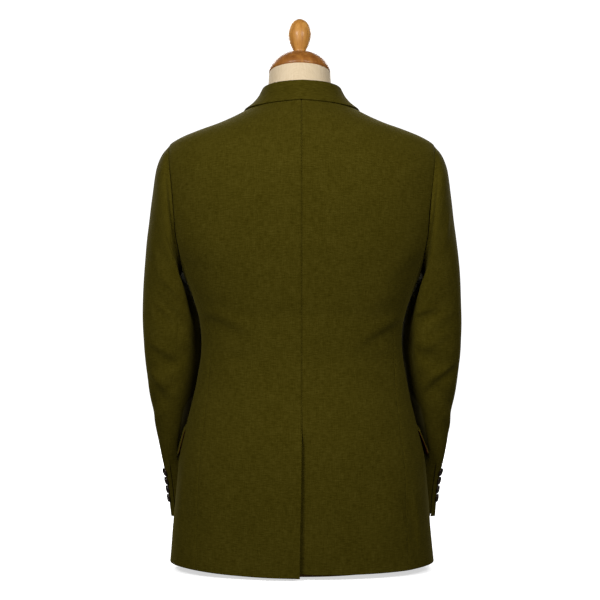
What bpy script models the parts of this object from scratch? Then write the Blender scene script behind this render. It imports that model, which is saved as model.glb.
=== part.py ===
"""Single-breasted moleskin jacket on a limbless dress form with a turned wooden neck knob.

Metres, +Z up. The jacket's front faces -Y, the wearer's left is +X, and the origin is on the floor under the
middle of the form's base board.

The jacket's body is one closed tube of horizontal sections. A place on it has an angle, counted from centre
back (0) over the wearer's left side (90) to centre front (180), and a height. Each panel covers a patch of
that tube and is a wall as thick as the cloth with its lining. What is on the right is mirrored from the left.
"""

import math

import bmesh
import bpy
import numpy as np
from mathutils import Matrix, Vector

# Cloth and seams
CLOTH = 0.0020
SEAM_GAP = 0.0003
LAYER_GAP = 0.0005
LAYER = CLOTH + LAYER_GAP

# Main sizes of the jacket
HEM_BACK = 0.0040
HEM_SIDE = 0.0130
RIGHT_HEM_RISE = 0.0055
ARMHOLE_BOTTOM = 0.4970
SHOULDER_POINT = 0.7115
NECK_SEAM_BACK = 0.7890
NECK_SEAM_SIDE = 0.7810
NECK_SEAM_FRONT = 0.7750
VENT_TOP = 0.2210
VENT_OPENING = 0.0030
VENT_UNDERLAP = 0.0350
VENT_STAND_OFF = 0.0015
VENT_FADE = 0.0700
VENT_RISE = (0.19, 0.55)
VENT_TUCK_COLUMNS = 3
RIGHT_HEM_LEVEL = 0.1400
BREAK_POINT = 0.3870
RIGHT_LAPEL_START = 0.4260

# How finely the walls are divided
PANEL_COLUMNS = 8
ARMHOLE_STEPS = 24
JUNCTION_STEP = 9
VENT_SHOULDER = 0.0020
FLAP_COLUMNS, FLAP_ROWS = 8, 4
STAND_COLUMNS, STAND_ROWS = 24, 3
FRONT_BUTTON_SIDES, CUFF_BUTTON_SIDES = 14, 12
FORM_SIDES, BASE_SIDES, CAP_SIDES, KNOB_SIDES = 32, 40, 28, 24
CAP_STEPS = 8
LOWER_HEIGHTS = (HEM_BACK, 0.014, 0.034, 0.064, 0.102, 0.142, 0.182, VENT_TOP - VENT_SHOULDER, VENT_TOP,
                 VENT_TOP + VENT_SHOULDER, 0.257, 0.292, 0.322, 0.352, 0.387, 0.422, 0.452, 0.477, 0.502)
SHOULDER_HEIGHTS = (0.7190, 0.7280, 0.7380, 0.7490, 0.7600, 0.7690, 0.7740)
SHARP_ANGLE = math.radians(50)

# Steps over which the surface's slope is taken, and how near two heights are the same
SLOPE_ANGLE = 0.5
SLOPE_HEIGHT = 0.0015
TINY = 1e-6


class Table:
    """Rows with named columns, read at any place along the first column through monotone cubics."""

    def __init__(self, columns, rows):
        data = np.array(rows, float)
        self.at = data[:, 0]
        self.values = dict(zip(columns, data.T))
        self.slopes = {name: self.smooth_slopes(column) for name, column in self.values.items()}

    def smooth_slopes(self, column):
        steps = np.diff(self.at)
        rises = np.diff(column) / steps
        slopes = np.concatenate([rises[:1], np.zeros(len(rises) - 1), rises[-1:]])
        for i, (before, after) in enumerate(zip(rises[:-1], rises[1:]), start=1):
            if before * after > 0:
                near, far = steps[i] * 2 + steps[i - 1], steps[i] + steps[i - 1] * 2
                slopes[i] = (near + far) / (near / before + far / after)
        return slopes

    def read(self, name, at):
        at = np.clip(at, self.at[0], self.at[-1])
        row = np.clip(np.searchsorted(self.at, at, side="right") - 1, 0, len(self.at) - 2)
        step = self.at[row + 1] - self.at[row]
        t = (at - self.at[row]) / step
        value, slope = self.values[name], self.slopes[name]
        start = (1 + 2 * t) * (1 - t) ** 2 * value[row] + t * (1 - t) ** 2 * step * slope[row]
        end = t * t * (3 - 2 * t) * value[row + 1] + t * t * (t - 1) * step * slope[row + 1]
        return start + end


# Horizontal sections of the jacket's body. Between the armhole's bottom and the shoulder point the half width
# runs out into the sleeve head, and the armhole cuts it off. Above the shoulder point it draws the shoulder.
BODY = Table(
    ("height", "half_width", "back", "front", "squareness"),
    (
        (0.0020, 0.2225, 0.138, 0.129, 2.15),
        (0.0520, 0.2180, 0.139, 0.130, 2.15),
        (0.1020, 0.2140, 0.139, 0.131, 2.12),
        (0.1820, 0.2070, 0.136, 0.132, 2.10),
        (0.2490, 0.1920, 0.130, 0.133, 2.10),
        (0.3160, 0.1765, 0.122, 0.135, 2.12),
        (0.3840, 0.1680, 0.115, 0.137, 2.20),
        (0.4174, 0.1715, 0.114, 0.138, 2.25),
        (0.4510, 0.1815, 0.118, 0.141, 2.25),
        (0.4847, 0.1955, 0.123, 0.143, 2.25),
        (0.4970, 0.2005, 0.125, 0.144, 2.25),
        (0.5520, 0.2220, 0.132, 0.145, 2.30),
        (0.6120, 0.2350, 0.136, 0.138, 2.25),
        (0.6620, 0.2375, 0.132, 0.121, 2.20),
        (0.6920, 0.2330, 0.125, 0.106, 2.10),
        (0.7115, 0.2220, 0.117, 0.096, 2.00),
        (0.7230, 0.2045, 0.112, 0.089, 2.00),
        (0.7360, 0.1735, 0.106, 0.081, 2.00),
        (0.7480, 0.1398, 0.100, 0.073, 2.00),
        (0.7665, 0.1000, 0.087, 0.062, 2.00),
        (0.7800, 0.0775, 0.077, 0.055, 2.00),
        (0.7920, 0.0670, 0.070, 0.051, 2.00),
        (0.8170, 0.0580, 0.063, 0.048, 2.00),
    ),
)

# How far out the armhole seam cuts the body, behind and in front
ARMHOLE = Table(
    ("height", "behind", "before"),
    (
        (0.4970, 0.2005, 0.2005),
        (0.5120, 0.2015, 0.1970),
        (0.5330, 0.2040, 0.1950),
        (0.5600, 0.2085, 0.1950),
        (0.6030, 0.2117, 0.1980),
        (0.6520, 0.2165, 0.2050),
        (0.6870, 0.2208, 0.2140),
        (0.7115, 0.2220, 0.2220),
    ),
)

# Angles of the two seams of the underarm panel; at their top they meet the armhole
SIDE_SEAM_ROWS = (
    (0.0020, 52.0, 123.0),
    (0.1920, 55.0, 122.0),
    (0.3820, 66.0, 119.0),
    (0.4720, 70.0, 116.0),
)

# Edge of each front, as distance from the centre line towards the wearer's own side: the rounded corner, the
# straight overlap and the line on which the lapel rolls
FRONT_EDGE = Table(
    ("height", "across"),
    (
        (0.0020, 0.0860),
        (0.0070, 0.0700),
        (0.0180, 0.0500),
        (0.0420, 0.0300),
        (0.0870, 0.0100),
        (0.1420, -0.0040),
        (0.2020, -0.0140),
        (0.2620, -0.0175),
        (0.3870, -0.0180),
        (0.4920, 0.0045),
        (0.6420, 0.0380),
        (0.7220, 0.0560),
        (0.7520, 0.0620),
        (0.7750, 0.0665),
    ),
)
FRONT_HEM_ANGLE = 156.0
FRONT_OVERLAP = 0.0180
OVERLAP_LEVEL = 0.0280
OVERLAP_END = 0.0780

# The sleeve's head by the turn round the armhole, from the shoulder point (0) to under the arm (180): how far
# the cloth rises square to the body beside the seam, and how far it runs on from the panels before it hangs
SLEEVE_HEAD = Table(
    ("turn", "rise", "run"),
    (
        (0, -0.0008, 0.0048),
        (40, 0.0010, 0.0032),
        (80, 0.0030, 0.0014),
        (125, 0.0034, 0.0005),
        (180, 0.0034, 0),
    ),
)
HEAD_TOP_RISE, HEAD_TOP_RUN = 0.55, 0.35

# Rings of the left sleeve below the armhole: ovals that are half_across thick and half_deep deep, with their
# outer edge higher than the inner one, their hind edge lower by pitch, and turned about the upright. Inside,
# they are fuller by hug where they rest against the body, and drawn in by tuck behind that.
SLEEVE = Table(
    (
        "along", "outer_z", "inner_z", "mid_x", "mid_y", "half_across", "half_deep", "turn", "pitch", "hug",
        "tuck",
    ),
    (
        (0.02, 0.7000, 0.4890, 0.2180, -0.0060, 0.0140, 0.0800, 0, 0, 0.0030, 0),
        (0.06, 0.6720, 0.4800, 0.2220, -0.0065, 0.0225, 0.0815, 0, 0, 0.0080, 0.0040),
        (0.13, 0.6240, 0.4685, 0.2215, -0.0070, 0.0300, 0.0795, 0, 0, 0.0080, 0.0090),
        (0.21, 0.5690, 0.4560, 0.2200, -0.0090, 0.0390, 0.0755, 0, 0, 0.0070, 0.0120),
        (0.28, 0.5190, 0.4410, 0.2200, -0.0110, 0.0445, 0.0710, 0, 0, 0.0060, 0.0125),
        (0.36, 0.4670, 0.4210, 0.2185, -0.0140, 0.0495, 0.0660, 1, 0, 0.0050, 0.0130),
        (0.43, 0.4220, 0.3960, 0.2165, -0.0180, 0.0525, 0.0625, 3, 0.02, 0.0040, 0.0125),
        (0.50, 0.3770, 0.3620, 0.2165, -0.0240, 0.0510, 0.0605, 6, 0.05, 0.0040, 0.0115),
        (0.60, 0.3220, 0.3120, 0.2165, -0.0370, 0.0440, 0.0600, 13, 0.08, 0.0030, 0.0070),
        (0.70, 0.2620, 0.2590, 0.2105, -0.0580, 0.0355, 0.0600, 25, 0.11, 0.0010, 0.0030),
        (0.81, 0.1970, 0.1970, 0.1980, -0.0810, 0.0280, 0.0590, 38, 0.13, 0, 0),
        (0.92, 0.1320, 0.1340, 0.1835, -0.0970, 0.0240, 0.0585, 47, 0.14, 0, 0),
        (1.00, 0.0850, 0.0880, 0.1780, -0.1040, 0.0230, 0.0585, 50, 0.14, 0, 0),
    ),
)
HUG_TURN, HUG_SPREAD = 210.0, 27.0
TUCK_TURN, TUCK_SPREAD = 163.0, 25.0
SLEEVE_RINGS = (0.02, 0.06, 0.12, 0.19, 0.26, 0.32, 0.37, 0.42, 0.47, 0.52, 0.57, 0.62, 0.68, 0.76, 0.84,
                0.92, 1.00)

# The sleeve's largest folds: where each trough lies, how deep it is, how far it reaches along and round the
# sleeve, and how much further along it lies for each degree round
SLEEVE_FOLDS = (
    {"along": 0.415, "turn": 118, "depth": 0.0042, "reach": 0.034, "spread": 40, "slant": 0.0009},
    {"along": 0.535, "turn": 95, "depth": 0.0030, "reach": 0.032, "spread": 48, "slant": -0.0010},
    {"along": 0.645, "turn": 80, "depth": 0.0034, "reach": 0.036, "spread": 42, "slant": -0.0012},
    {"along": 0.460, "turn": 278, "depth": 0.0046, "reach": 0.034, "spread": 44, "slant": -0.0007},
    {"along": 0.560, "turn": 262, "depth": 0.0036, "reach": 0.032, "spread": 40, "slant": 0.0008},
)
SLEEVE_SQUARENESS = 2.2
SLEEVE_CLEARANCE = 0.0032
FLAP_CLEARANCE = 0.0085
FLAP_FADE_BELOW, FLAP_FADE_ABOVE = 0.0300, 0.0400
HIND_SEAM, FORE_SEAM = 7, 17
RIGHT_SLEEVE_SWING = 0.0040
SWING_HEIGHTS = (0.0900, 0.5900)

# The collar's fold and its outer edge, from centre back (0) to the gorge (1)
COLLAR = Table(
    ("along", "fold_angle", "fold_height", "edge_angle", "edge_height", "bow"),
    (
        (0.00, 0.0, 0.8125, 0.0, 0.7790, 0.0010),
        (0.20, 36.0, 0.8110, 34.0, 0.7755, 0.0015),
        (0.38, 68.0, 0.8080, 66.0, 0.7710, 0.0020),
        (0.52, 92.0, 0.8040, 92.0, 0.7690, 0.0020),
        (0.66, 110.0, 0.7930, 107.0, 0.7645, 0.0020),
        (0.80, 126.0, 0.7760, 119.0, 0.7580, 0.0015),
        (0.90, 144.0, 0.7580, 127.5, 0.7490, 0.0010),
        (1.00, 159.0, 0.7375, 136.0, 0.7380, 0.0000),
    ),
)
COLLAR_STATIONS = 14
COLLAR_SHARES = (0, 0.18, 0.37, 0.55, 0.70, 0.85, 1)
COLLAR_ROLL = 0.0015
STAND_END = 100.0
STAND_DROP = 0.0010

# The collar's front end from the fold (0) to its tip (1): the gorge seam down to the notch, then its free
# end. It shapes the collar from END_SHAPING on.
END_SHAPING = 0.66
GORGE_SHARE = 0.55
GORGE_TOP = {"across": 0.0590, "height": 0.7375}
NOTCH = {"across": 0.0985, "height": 0.7100}
COLLAR_TIP = {"across": 0.1170, "height": 0.7380}

# The lapel's outer edge, as distance from the centre line, and the height of its tip
LAPEL_EDGE = Table(
    ("height", "across"),
    (
        (0.3870, -0.0150),
        (0.4220, 0.0130),
        (0.4720, 0.0400),
        (0.5420, 0.0730),
        (0.6120, 0.1020),
        (0.6720, 0.1235),
        (0.7080, 0.1340),
    ),
)
LAPEL_TIP_HEIGHT = 0.7045
LAPEL_ROWS = (0, 0.012, 0.05, 0.12, 0.22, 0.34, 0.47, 0.60, 0.72, 0.83, 0.92, 1.0)
LAPEL_SHARES = (0, 0.18, 0.37, GORGE_SHARE, 0.775, 1)
LAPEL_ROLL = 0.0045
LAPEL_ROLL_START = 0.1

# Pocket flaps
FLAP_HIND_ANGLE = 82.0
FLAP_FORE_ANGLE = 133.0
FLAP_HIND_TOP = 0.2330
FLAP_FORE_TOP = 0.2620
FLAP_DEPTH = 0.0510
FLAP_ROUNDING = 0.0120
FLAP_CORNER = 0.25
FLAP_STAND_OFF = {"left": 0.0030, "right": 0.0090}
FLAP_LIFTED = 0.5

# Buttons
FRONT_BUTTON_RADIUS = 0.0105
FRONT_BUTTON_HEIGHTS = (0.3770, 0.2670)
CUFF_BUTTON_RADIUS = 0.0073
CUFF_BUTTON_PITCH = 0.0153
CUFF_BUTTON_COUNT = 4
CUFF_BUTTON_LOWEST = 0.1110
CUFF_BUTTON_TURN = 79.0
CUFF_BUTTON_SEARCH = (0.7, 1)
BUTTON_THICKNESS = 0.30
BUTTON_GAP = 0.0003
CUFF_BUTTON_GAP = 0.0007

# The dress form
FORM = Table(
    ("height", "half_width", "back", "front", "shift", "tilt"),
    (
        (0.0203, 0.1560, 0.1020, 0.1000, 0, 0),
        (0.0920, 0.1700, 0.1110, 0.1080, 0, 0),
        (0.1820, 0.1740, 0.1130, 0.1120, 0, 0),
        (0.2820, 0.1620, 0.1040, 0.1120, 0, 0),
        (0.3820, 0.1460, 0.0940, 0.1090, 0, 0),
        (0.4620, 0.1560, 0.1020, 0.1160, 0, 0),
        (0.5420, 0.1690, 0.1120, 0.1240, 0, 0),
        (0.6120, 0.1770, 0.1180, 0.1190, 0, 0),
        (0.6620, 0.1800, 0.1150, 0.1060, 0, 0),
        (0.6920, 0.1800, 0.1110, 0.0970, 0, 0),
        (0.7120, 0.1770, 0.1075, 0.0895, 0, 0),
        (0.7260, 0.1710, 0.1040, 0.0825, 0, 0),
        (0.7360, 0.1625, 0.1015, 0.0765, 0, 0),
        (0.7480, 0.1328, 0.0968, 0.0696, 0, 0),
        (0.7665, 0.0900, 0.0820, 0.0580, 0.0010, 0),
        (0.7800, 0.0690, 0.0680, 0.0530, 0.0020, 0.03),
        (0.7920, 0.0590, 0.0580, 0.0520, 0.0030, 0.08),
        (0.8070, 0.0535, 0.0530, 0.0515, 0.0035, 0.16),
        (0.8320, 0.0515, 0.0515, 0.0515, 0.0035, 0.2309),
    ),
)
FORM_ROWS = (0.0203, 0.0520, 0.1120, 0.1820, 0.2420, 0.3020, 0.3520, 0.4020, 0.4520, 0.5020, 0.5520, 0.6020,
             0.6520, 0.6820, 0.7020, 0.7180, 0.7280, 0.7380, 0.7490, 0.7600, 0.7710, 0.7820, 0.7940, 0.8070,
             0.8320)
NECK_TILT = math.radians(13)
NECK_TOP = (0.0035, 0.0, 0.8320)
BASE_HEIGHT = 0.0200
BASE_HALF_WIDTH = 0.1400
BASE_HALF_DEPTH = 0.0980
BASE_ROUNDING = 0.0030
CAP_RADIUS = 0.0520
CAP_RIM = 0.0040
CAP_HEIGHT = 0.0350
CAP_NECK_RADIUS = 0.0105
CAP_UNDERCUT = 0.0015
CAP_ROUNDNESS, CAP_FALL = 1.1, 1.2
KNOB_HEIGHT = 0.0620
KNOB_OUTLINE = Table(
    ("share", "radius"),
    ((0, 0.0095), (0.06, 0.0098), (0.16, 0.0125), (0.34, 0.0171), (0.55, 0.0198), (0.74, 0.0181),
     (0.90, 0.0128), (0.975, 0.0066)),
)
KNOB_SHARES = (0.975, 0.94, 0.88, 0.80, 0.71, 0.62, 0.53, 0.44, 0.35, 0.26, 0.17, 0.10, 0.04, 0)

# Finishes: colour and roughness
MOLESKIN = (0.055, 0.045, 0.006), 0.85
HORN = (0.030, 0.018, 0.010), 0.35
LINEN = (0.78, 0.68, 0.54), 0.90
WOOD = (0.50, 0.22, 0.06), 0.30


# ---------------------------------------------------------------- the body's surface


def section_point(angle, height):
    """The outer surface of the jacket's body."""
    turn = np.radians(angle)
    power = BODY.read("squareness", height)
    deep = np.where(np.cos(turn) >= 0, BODY.read("back", height), -BODY.read("front", height))
    x = BODY.read("half_width", height) * np.sin(turn)
    y = deep * np.maximum(1 - np.abs(np.sin(turn)) ** power, 0) ** (1 / power)
    return np.stack(np.broadcast_arrays(x, y, height), -1)


def unit(vectors):
    return vectors / np.linalg.norm(vectors, axis=-1, keepdims=True)


def outward(angle, height):
    """The unit normal of the body's surface."""
    round_it = section_point(angle + SLOPE_ANGLE, height) - section_point(angle - SLOPE_ANGLE, height)
    up_it = section_point(angle, height + SLOPE_HEIGHT) - section_point(angle, height - SLOPE_HEIGHT)
    return unit(np.cross(up_it, round_it))


def on_body(angle, height, lift=0.0):
    """A point on the body's surface, moved out by lift."""
    return section_point(angle, height) + outward(angle, height) * np.asarray(lift)[..., None]


def angle_at(x, height, front):
    """The angle at which the surface has this x, on its front or its back half."""
    behind = np.degrees(np.arcsin(np.clip(x / BODY.read("half_width", height), -1, 1)))
    return 180 - behind if front else behind


def moved_round(angle, height, distance):
    """The angle that lies this distance further round the surface."""
    step = section_point(angle + SLOPE_ANGLE, height) - section_point(angle - SLOPE_ANGLE, height)
    return angle + distance * 2 * SLOPE_ANGLE / np.linalg.norm(step, axis=-1)


def blend(low, high, value):
    """0 below low, 1 above high, smooth in between."""
    t = np.clip((value - low) / (high - low), 0, 1)
    return t * t * (3 - 2 * t)


def hem_height(angle):
    """The hem dips at the back and rises towards the sides."""
    return HEM_BACK + (HEM_SIDE - HEM_BACK) * np.sin(np.radians(angle)) ** 2


def neck_seam(angle):
    """Height of the seam in which the collar stands on the back."""
    return NECK_SEAM_BACK + (NECK_SEAM_SIDE - NECK_SEAM_BACK) * np.minimum(angle / 90, 1) ** 2


# ---------------------------------------------------------------- walls


def finished(name, mesh, finish):
    """Makes the named object of a mesh and gives it a material of its own."""
    colour, roughness = finish
    obj = bpy.data.objects.new(name, mesh)
    bpy.data.collections["moleskin_jacket"].objects.link(obj)
    material = bpy.data.materials.new(name + "_finish")
    material.use_nodes = True
    shader = material.node_tree.nodes["Principled BSDF"]
    shader.inputs["Base Color"].default_value = (*colour, 1)
    shader.inputs["Roughness"].default_value = roughness
    mesh.materials.append(material)
    return obj


def mesh_of(name, shape):
    """Turns a bmesh with its faces pointing out into a smooth-shaded mesh."""
    bmesh.ops.recalc_face_normals(shape, faces=shape.faces)
    mesh = bpy.data.meshes.new(name)
    shape.to_mesh(mesh)
    shape.free()
    mesh.shade_smooth()
    mesh.set_sharp_from_angle(angle=SHARP_ANGLE)
    return mesh


def add_grid(shape, points):
    """Adds a grid of points with its faces, and returns the vertices by column and row."""
    columns, rows = points.shape[:2]
    grid = [[shape.verts.new(points[i, j]) for j in range(rows)] for i in range(columns)]
    for left, right in zip(grid, grid[1:]):
        for corners in zip(left, right, right[1:], left[1:]):
            shape.faces.new(corners)
    return grid


def rim_of(grid):
    """The vertices along the border of a grid, in order."""
    return grid[0][:-1] + [column[-1] for column in grid[:-1]] + grid[-1][:0:-1] + [
        column[0] for column in grid[:0:-1]
    ]


def wall(name, outer, inner, right=False):
    """A closed cloth wall between two grids of points that have the same columns and rows."""
    side = np.array([-1 if right else 1, 1, 1])
    shape = bmesh.new()
    rims = [rim_of(add_grid(shape, points * side)) for points in (outer, inner)]
    for a, b, c, d in zip(rims[0], rims[0][1:] + rims[0][:1], rims[1][1:] + rims[1][:1], rims[1]):
        shape.faces.new([a, b, c, d])
    return finished(name, mesh_of(name, shape), MOLESKIN)


def panel_wall(name, angle, height, lift, right):
    """A wall on the body's surface, its outer face moved out by lift."""
    return wall(name, on_body(angle, height, lift), on_body(angle, height, lift - CLOTH), right)


def grid_normals(points):
    """Unit normals of a grid whose columns go round anticlockwise seen from above and whose rows go down."""
    down = np.gradient(points, axis=1)
    round_it = np.gradient(points, axis=0)
    return unit(np.cross(down, round_it))


# ---------------------------------------------------------------- rows that the panels share


def armhole_height(turn):
    """The armhole's height at a place round it: 0 at the shoulder point, 90 behind, 180 under the arm."""
    middle, half = (SHOULDER_POINT + ARMHOLE_BOTTOM) / 2, (SHOULDER_POINT - ARMHOLE_BOTTOM) / 2
    return middle + half * np.cos(np.radians(turn))


def armhole_angle(turn):
    """The armhole's angle on the body at a place round it."""
    height = armhole_height(turn)
    behind = angle_at(ARMHOLE.read("behind", height), height, False)
    before = angle_at(ARMHOLE.read("before", height), height, True)
    return np.where(np.sin(np.radians(turn)) >= 0, behind, before)


ARMHOLE_TURNS = np.arange(ARMHOLE_STEPS) * 360 / ARMHOLE_STEPS
JUNCTION = float(armhole_height(ARMHOLE_TURNS[JUNCTION_STEP]))
JUNCTION_ANGLES = armhole_angle(ARMHOLE_TURNS[[JUNCTION_STEP, -JUNCTION_STEP]])
SIDE_SEAMS = Table(("height", "behind", "before"), SIDE_SEAM_ROWS + ((JUNCTION, *JUNCTION_ANGLES),))
BEHIND_HEM, BEFORE_HEM = SIDE_SEAM_ROWS[0][1:]
LOWER_SHARES = [(height - HEM_BACK) / (JUNCTION - HEM_BACK) for height in LOWER_HEIGHTS] + [1.0]


def panel_heights(hem, top):
    """Heights of a back's or front's rows: spread from hem to underarm, then level, then the neck's edge."""
    lower = [hem + (JUNCTION - hem) * share for share in LOWER_SHARES]
    level = [armhole_height(ARMHOLE_TURNS[j]) for j in range(JUNCTION_STEP - 1, -1, -1)]
    level += list(SHOULDER_HEIGHTS)
    return np.stack(lower + [np.full_like(hem, height) for height in level] + [top], axis=1)


def outer_edge(height, front):
    """The edge that faces the side: the side seam, then the armhole, then the shoulder seam."""
    name, inwards = ("before", SEAM_GAP / 2) if front else ("behind", -SEAM_GAP / 2)
    seam = moved_round(SIDE_SEAMS.read(name, height), height, inwards)
    ridge = moved_round(np.full_like(height, 90.0), height, inwards)
    armhole = angle_at(ARMHOLE.read(name, height), height, front)
    edge = np.where(height <= JUNCTION + TINY, seam, armhole)
    return np.where(height >= SHOULDER_POINT - TINY, ridge, edge)


# ---------------------------------------------------------------- panels


def build_back(name, right):
    """A back, from the centre seam to the side seam, armhole and shoulder seam. Below the vent's top the left
    one stands off over the right one, which runs on under it."""
    share = np.linspace(0, 1, PANEL_COLUMNS + 1)
    heights = panel_heights(hem_height(share * BEHIND_HEM), neck_seam(share * 90))
    if right:
        low = 1 - blend(HEM_BACK, RIGHT_HEM_LEVEL, heights)
        heights = heights + RIGHT_HEM_RISE * (1 - share[:, None]) * low
    centre = moved_round(np.zeros(heights.shape[1]), heights[0], SEAM_GAP / 2)
    outer = outer_edge(heights[-1], False)
    angles = centre + (outer - centre) * share[:, None]
    in_vent = heights[0] < VENT_TOP + VENT_SHOULDER * (-0.5 if right else 0.5)
    lift = np.zeros_like(angles)
    if right:
        tuck = np.where(in_vent, angle_at(VENT_UNDERLAP, heights[0], False), 0)
        angles = angles - tuck * np.maximum(1 - np.arange(PANEL_COLUMNS + 1) / VENT_TUCK_COLUMNS, 0)[:, None]
        angles[0] = np.where(in_vent, angle_at(-VENT_UNDERLAP, heights[0], False), angles[0])
    else:
        open_by = VENT_OPENING * (1 - blend(HEM_BACK, VENT_TOP, heights[0]))
        angles[0] = np.where(in_vent, angle_at(open_by, heights[0], False), angles[0])
        raised = LAYER + VENT_STAND_OFF * (1 - blend(HEM_BACK, VENT_TOP, heights))
        raised = raised * (1 - blend(VENT_TOP, VENT_TOP + VENT_FADE, heights))
        lift = raised * (1 - blend(*VENT_RISE, share))[:, None]
    panel_wall(name, angles, heights, lift, right)


def build_side(name, right):
    """The underarm panel between the two side seams; the armhole's lowest part is its top edge."""
    steps = np.arange(JUNCTION_STEP, ARMHOLE_STEPS - JUNCTION_STEP + 1)
    share = (steps - steps[0]) / (steps[-1] - steps[0])
    top = armhole_height(ARMHOLE_TURNS[steps])
    top_angle = armhole_angle(ARMHOLE_TURNS[steps])
    rows = []
    for row in LOWER_SHARES:
        behind_hem, before_hem = hem_height(BEHIND_HEM), hem_height(BEFORE_HEM)
        hem = hem_height(BEHIND_HEM + (BEFORE_HEM - BEHIND_HEM) * share)
        heights = hem + (top - hem) * row
        level = behind_hem + (JUNCTION - behind_hem) * row, before_hem + (JUNCTION - before_hem) * row
        behind = moved_round(SIDE_SEAMS.read("behind", level[0]), level[0], SEAM_GAP / 2)
        before = moved_round(SIDE_SEAMS.read("before", level[1]), level[1], -SEAM_GAP / 2)
        angles = behind + (before - behind) * share
        curved = top_angle - (top_angle[0] + (top_angle[-1] - top_angle[0]) * share)
        rows.append((angles + curved * row**4, heights))
    angles = np.stack([angles for angles, _ in rows], axis=1)
    heights = np.stack([heights for _, heights in rows], axis=1)
    panel_wall(name, angles, heights, np.zeros_like(angles), right)


def front_lift(x):
    """The left front rises over the right one where the two overlap."""
    return LAYER * (1 - blend(OVERLAP_LEVEL, OVERLAP_END, x))


def build_front(name, right):
    """A front, from the side seam, armhole and shoulder seam to its edge, where the lapel rolls."""
    share = np.linspace(0, 1, PANEL_COLUMNS + 1)
    hem = hem_height(BEFORE_HEM + (FRONT_HEM_ANGLE - BEFORE_HEM) * share)
    heights = panel_heights(hem, np.full_like(share, NECK_SEAM_FRONT))
    outer = outer_edge(heights[0], True)
    edge = angle_at(FRONT_EDGE.read("across", heights[-1]), heights[-1], True)
    angles = outer + (edge - outer) * share[:, None]
    x = section_point(angles, heights)[..., 0]
    panel_wall(name, angles, heights, np.zeros_like(angles) if right else front_lift(x), right)


def build_lapel(name, right):
    """The lapel, turned back on the front along the roll line."""
    share = np.array(LAPEL_SHARES)[:, None]
    row = np.array(LAPEL_ROWS)[None, :]
    start = RIGHT_LAPEL_START if right else BREAK_POINT
    seam = GORGE_TOP["height"] - SEAM_GAP, NOTCH["height"] - SEAM_GAP
    top = np.interp(share, (0, GORGE_SHARE, 1), (*seam, LAPEL_TIP_HEIGHT))
    heights = start + (top - start) * row
    roll = FRONT_EDGE.read("across", heights)
    if right:
        roll = np.abs(roll) + 2 * LAYER_GAP
    edge = LAPEL_EDGE.read("across", heights)
    x = roll + (edge - roll) * share
    lift = LAYER + LAYER_GAP + LAPEL_ROLL * (1 - share) ** 2 * blend(0, LAPEL_ROLL_START, row)
    if not right:
        lift = lift + front_lift(x)
    panel_wall(name, angle_at(x, heights, True), heights, lift, right)


def build_flap(name, right):
    """A slanted pocket flap that stands off at its hind lower corner."""
    along = np.linspace(0, 1, FLAP_COLUMNS + 1)[:, None]
    down = np.linspace(0, 1, FLAP_ROWS + 1)[None, :]
    angles = FLAP_HIND_ANGLE + (FLAP_FORE_ANGLE - FLAP_HIND_ANGLE) * along + 0 * down
    top = FLAP_HIND_TOP + (FLAP_FORE_TOP - FLAP_HIND_TOP) * along
    to_corner = np.maximum(0, 1 - np.minimum(along, 1 - along) / FLAP_CORNER)
    heights = top - (FLAP_DEPTH - FLAP_ROUNDING * to_corner**2) * down
    stand_off = FLAP_STAND_OFF["right" if right else "left"]
    lift = LAYER + LAYER_GAP + stand_off * np.maximum(0, 1 - along / FLAP_LIFTED) ** 2 * down
    if not right:
        lift = lift + front_lift(section_point(angles, heights)[..., 0])
    panel_wall(name, angles, heights, lift, right)


# ---------------------------------------------------------------- collar


def collar_place(along, share):
    """Angle, height and bow of the collar's outer leaf: share 0 is the fold, 1 the outer edge."""
    place = {name: COLLAR.read(name, along) for name in COLLAR.values}
    angle = place["fold_angle"] + (place["edge_angle"] - place["fold_angle"]) * share
    height = place["fold_height"] + (place["edge_height"] - place["fold_height"]) * share
    corners = (0, GORGE_SHARE, 1)
    end_x, end_height = (
        np.interp(share, corners, [point[size] for point in (GORGE_TOP, NOTCH, COLLAR_TIP)])
        for size in ("across", "height")
    )
    at_end = np.clip((along - END_SHAPING) / (1 - END_SHAPING), 0, 1) ** 3
    angle = angle + (angle_at(end_x, end_height, True) - angle) * at_end
    height = height + (end_height - height) * at_end
    return angle, height, place["bow"] * 4 * share * (1 - share)


def build_collar():
    """The collar's outer leaf, from gorge to gorge round the back of the neck."""
    half = np.linspace(0, 1, COLLAR_STATIONS + 1)[:, None]
    shares = np.array(COLLAR_SHARES)[None, :]
    angle, height, bow = collar_place(half, shares)
    lift = LAYER + LAYER_GAP + bow + COLLAR_ROLL * (1 - shares)
    left = on_body(angle, height, lift)
    left_inner = on_body(angle, height, lift - CLOTH)
    mirror = np.array([-1, 1, 1])
    outer = np.concatenate([(left * mirror)[:0:-1], left])
    inner = np.concatenate([(left_inner * mirror)[:0:-1], left_inner])
    wall("collar", outer, inner)


def build_collar_stand():
    """The collar's inner leaf, which stands on the neck seam inside the fold."""
    angle = np.linspace(-STAND_END, STAND_END, STAND_COLUMNS + 1)[:, None]
    along = np.interp(np.abs(angle), COLLAR.values["fold_angle"], COLLAR.at)
    share = np.linspace(0, 1, STAND_ROWS + 1)[None, :]
    top = COLLAR.read("fold_height", along) - STAND_DROP
    height = top + (neck_seam(np.abs(angle)) + 2 * SEAM_GAP - top) * share
    lift = np.zeros_like(height)
    wall("collar_stand", on_body(angle, height, lift), on_body(angle, height, lift - CLOTH))


# ---------------------------------------------------------------- sleeves


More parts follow.
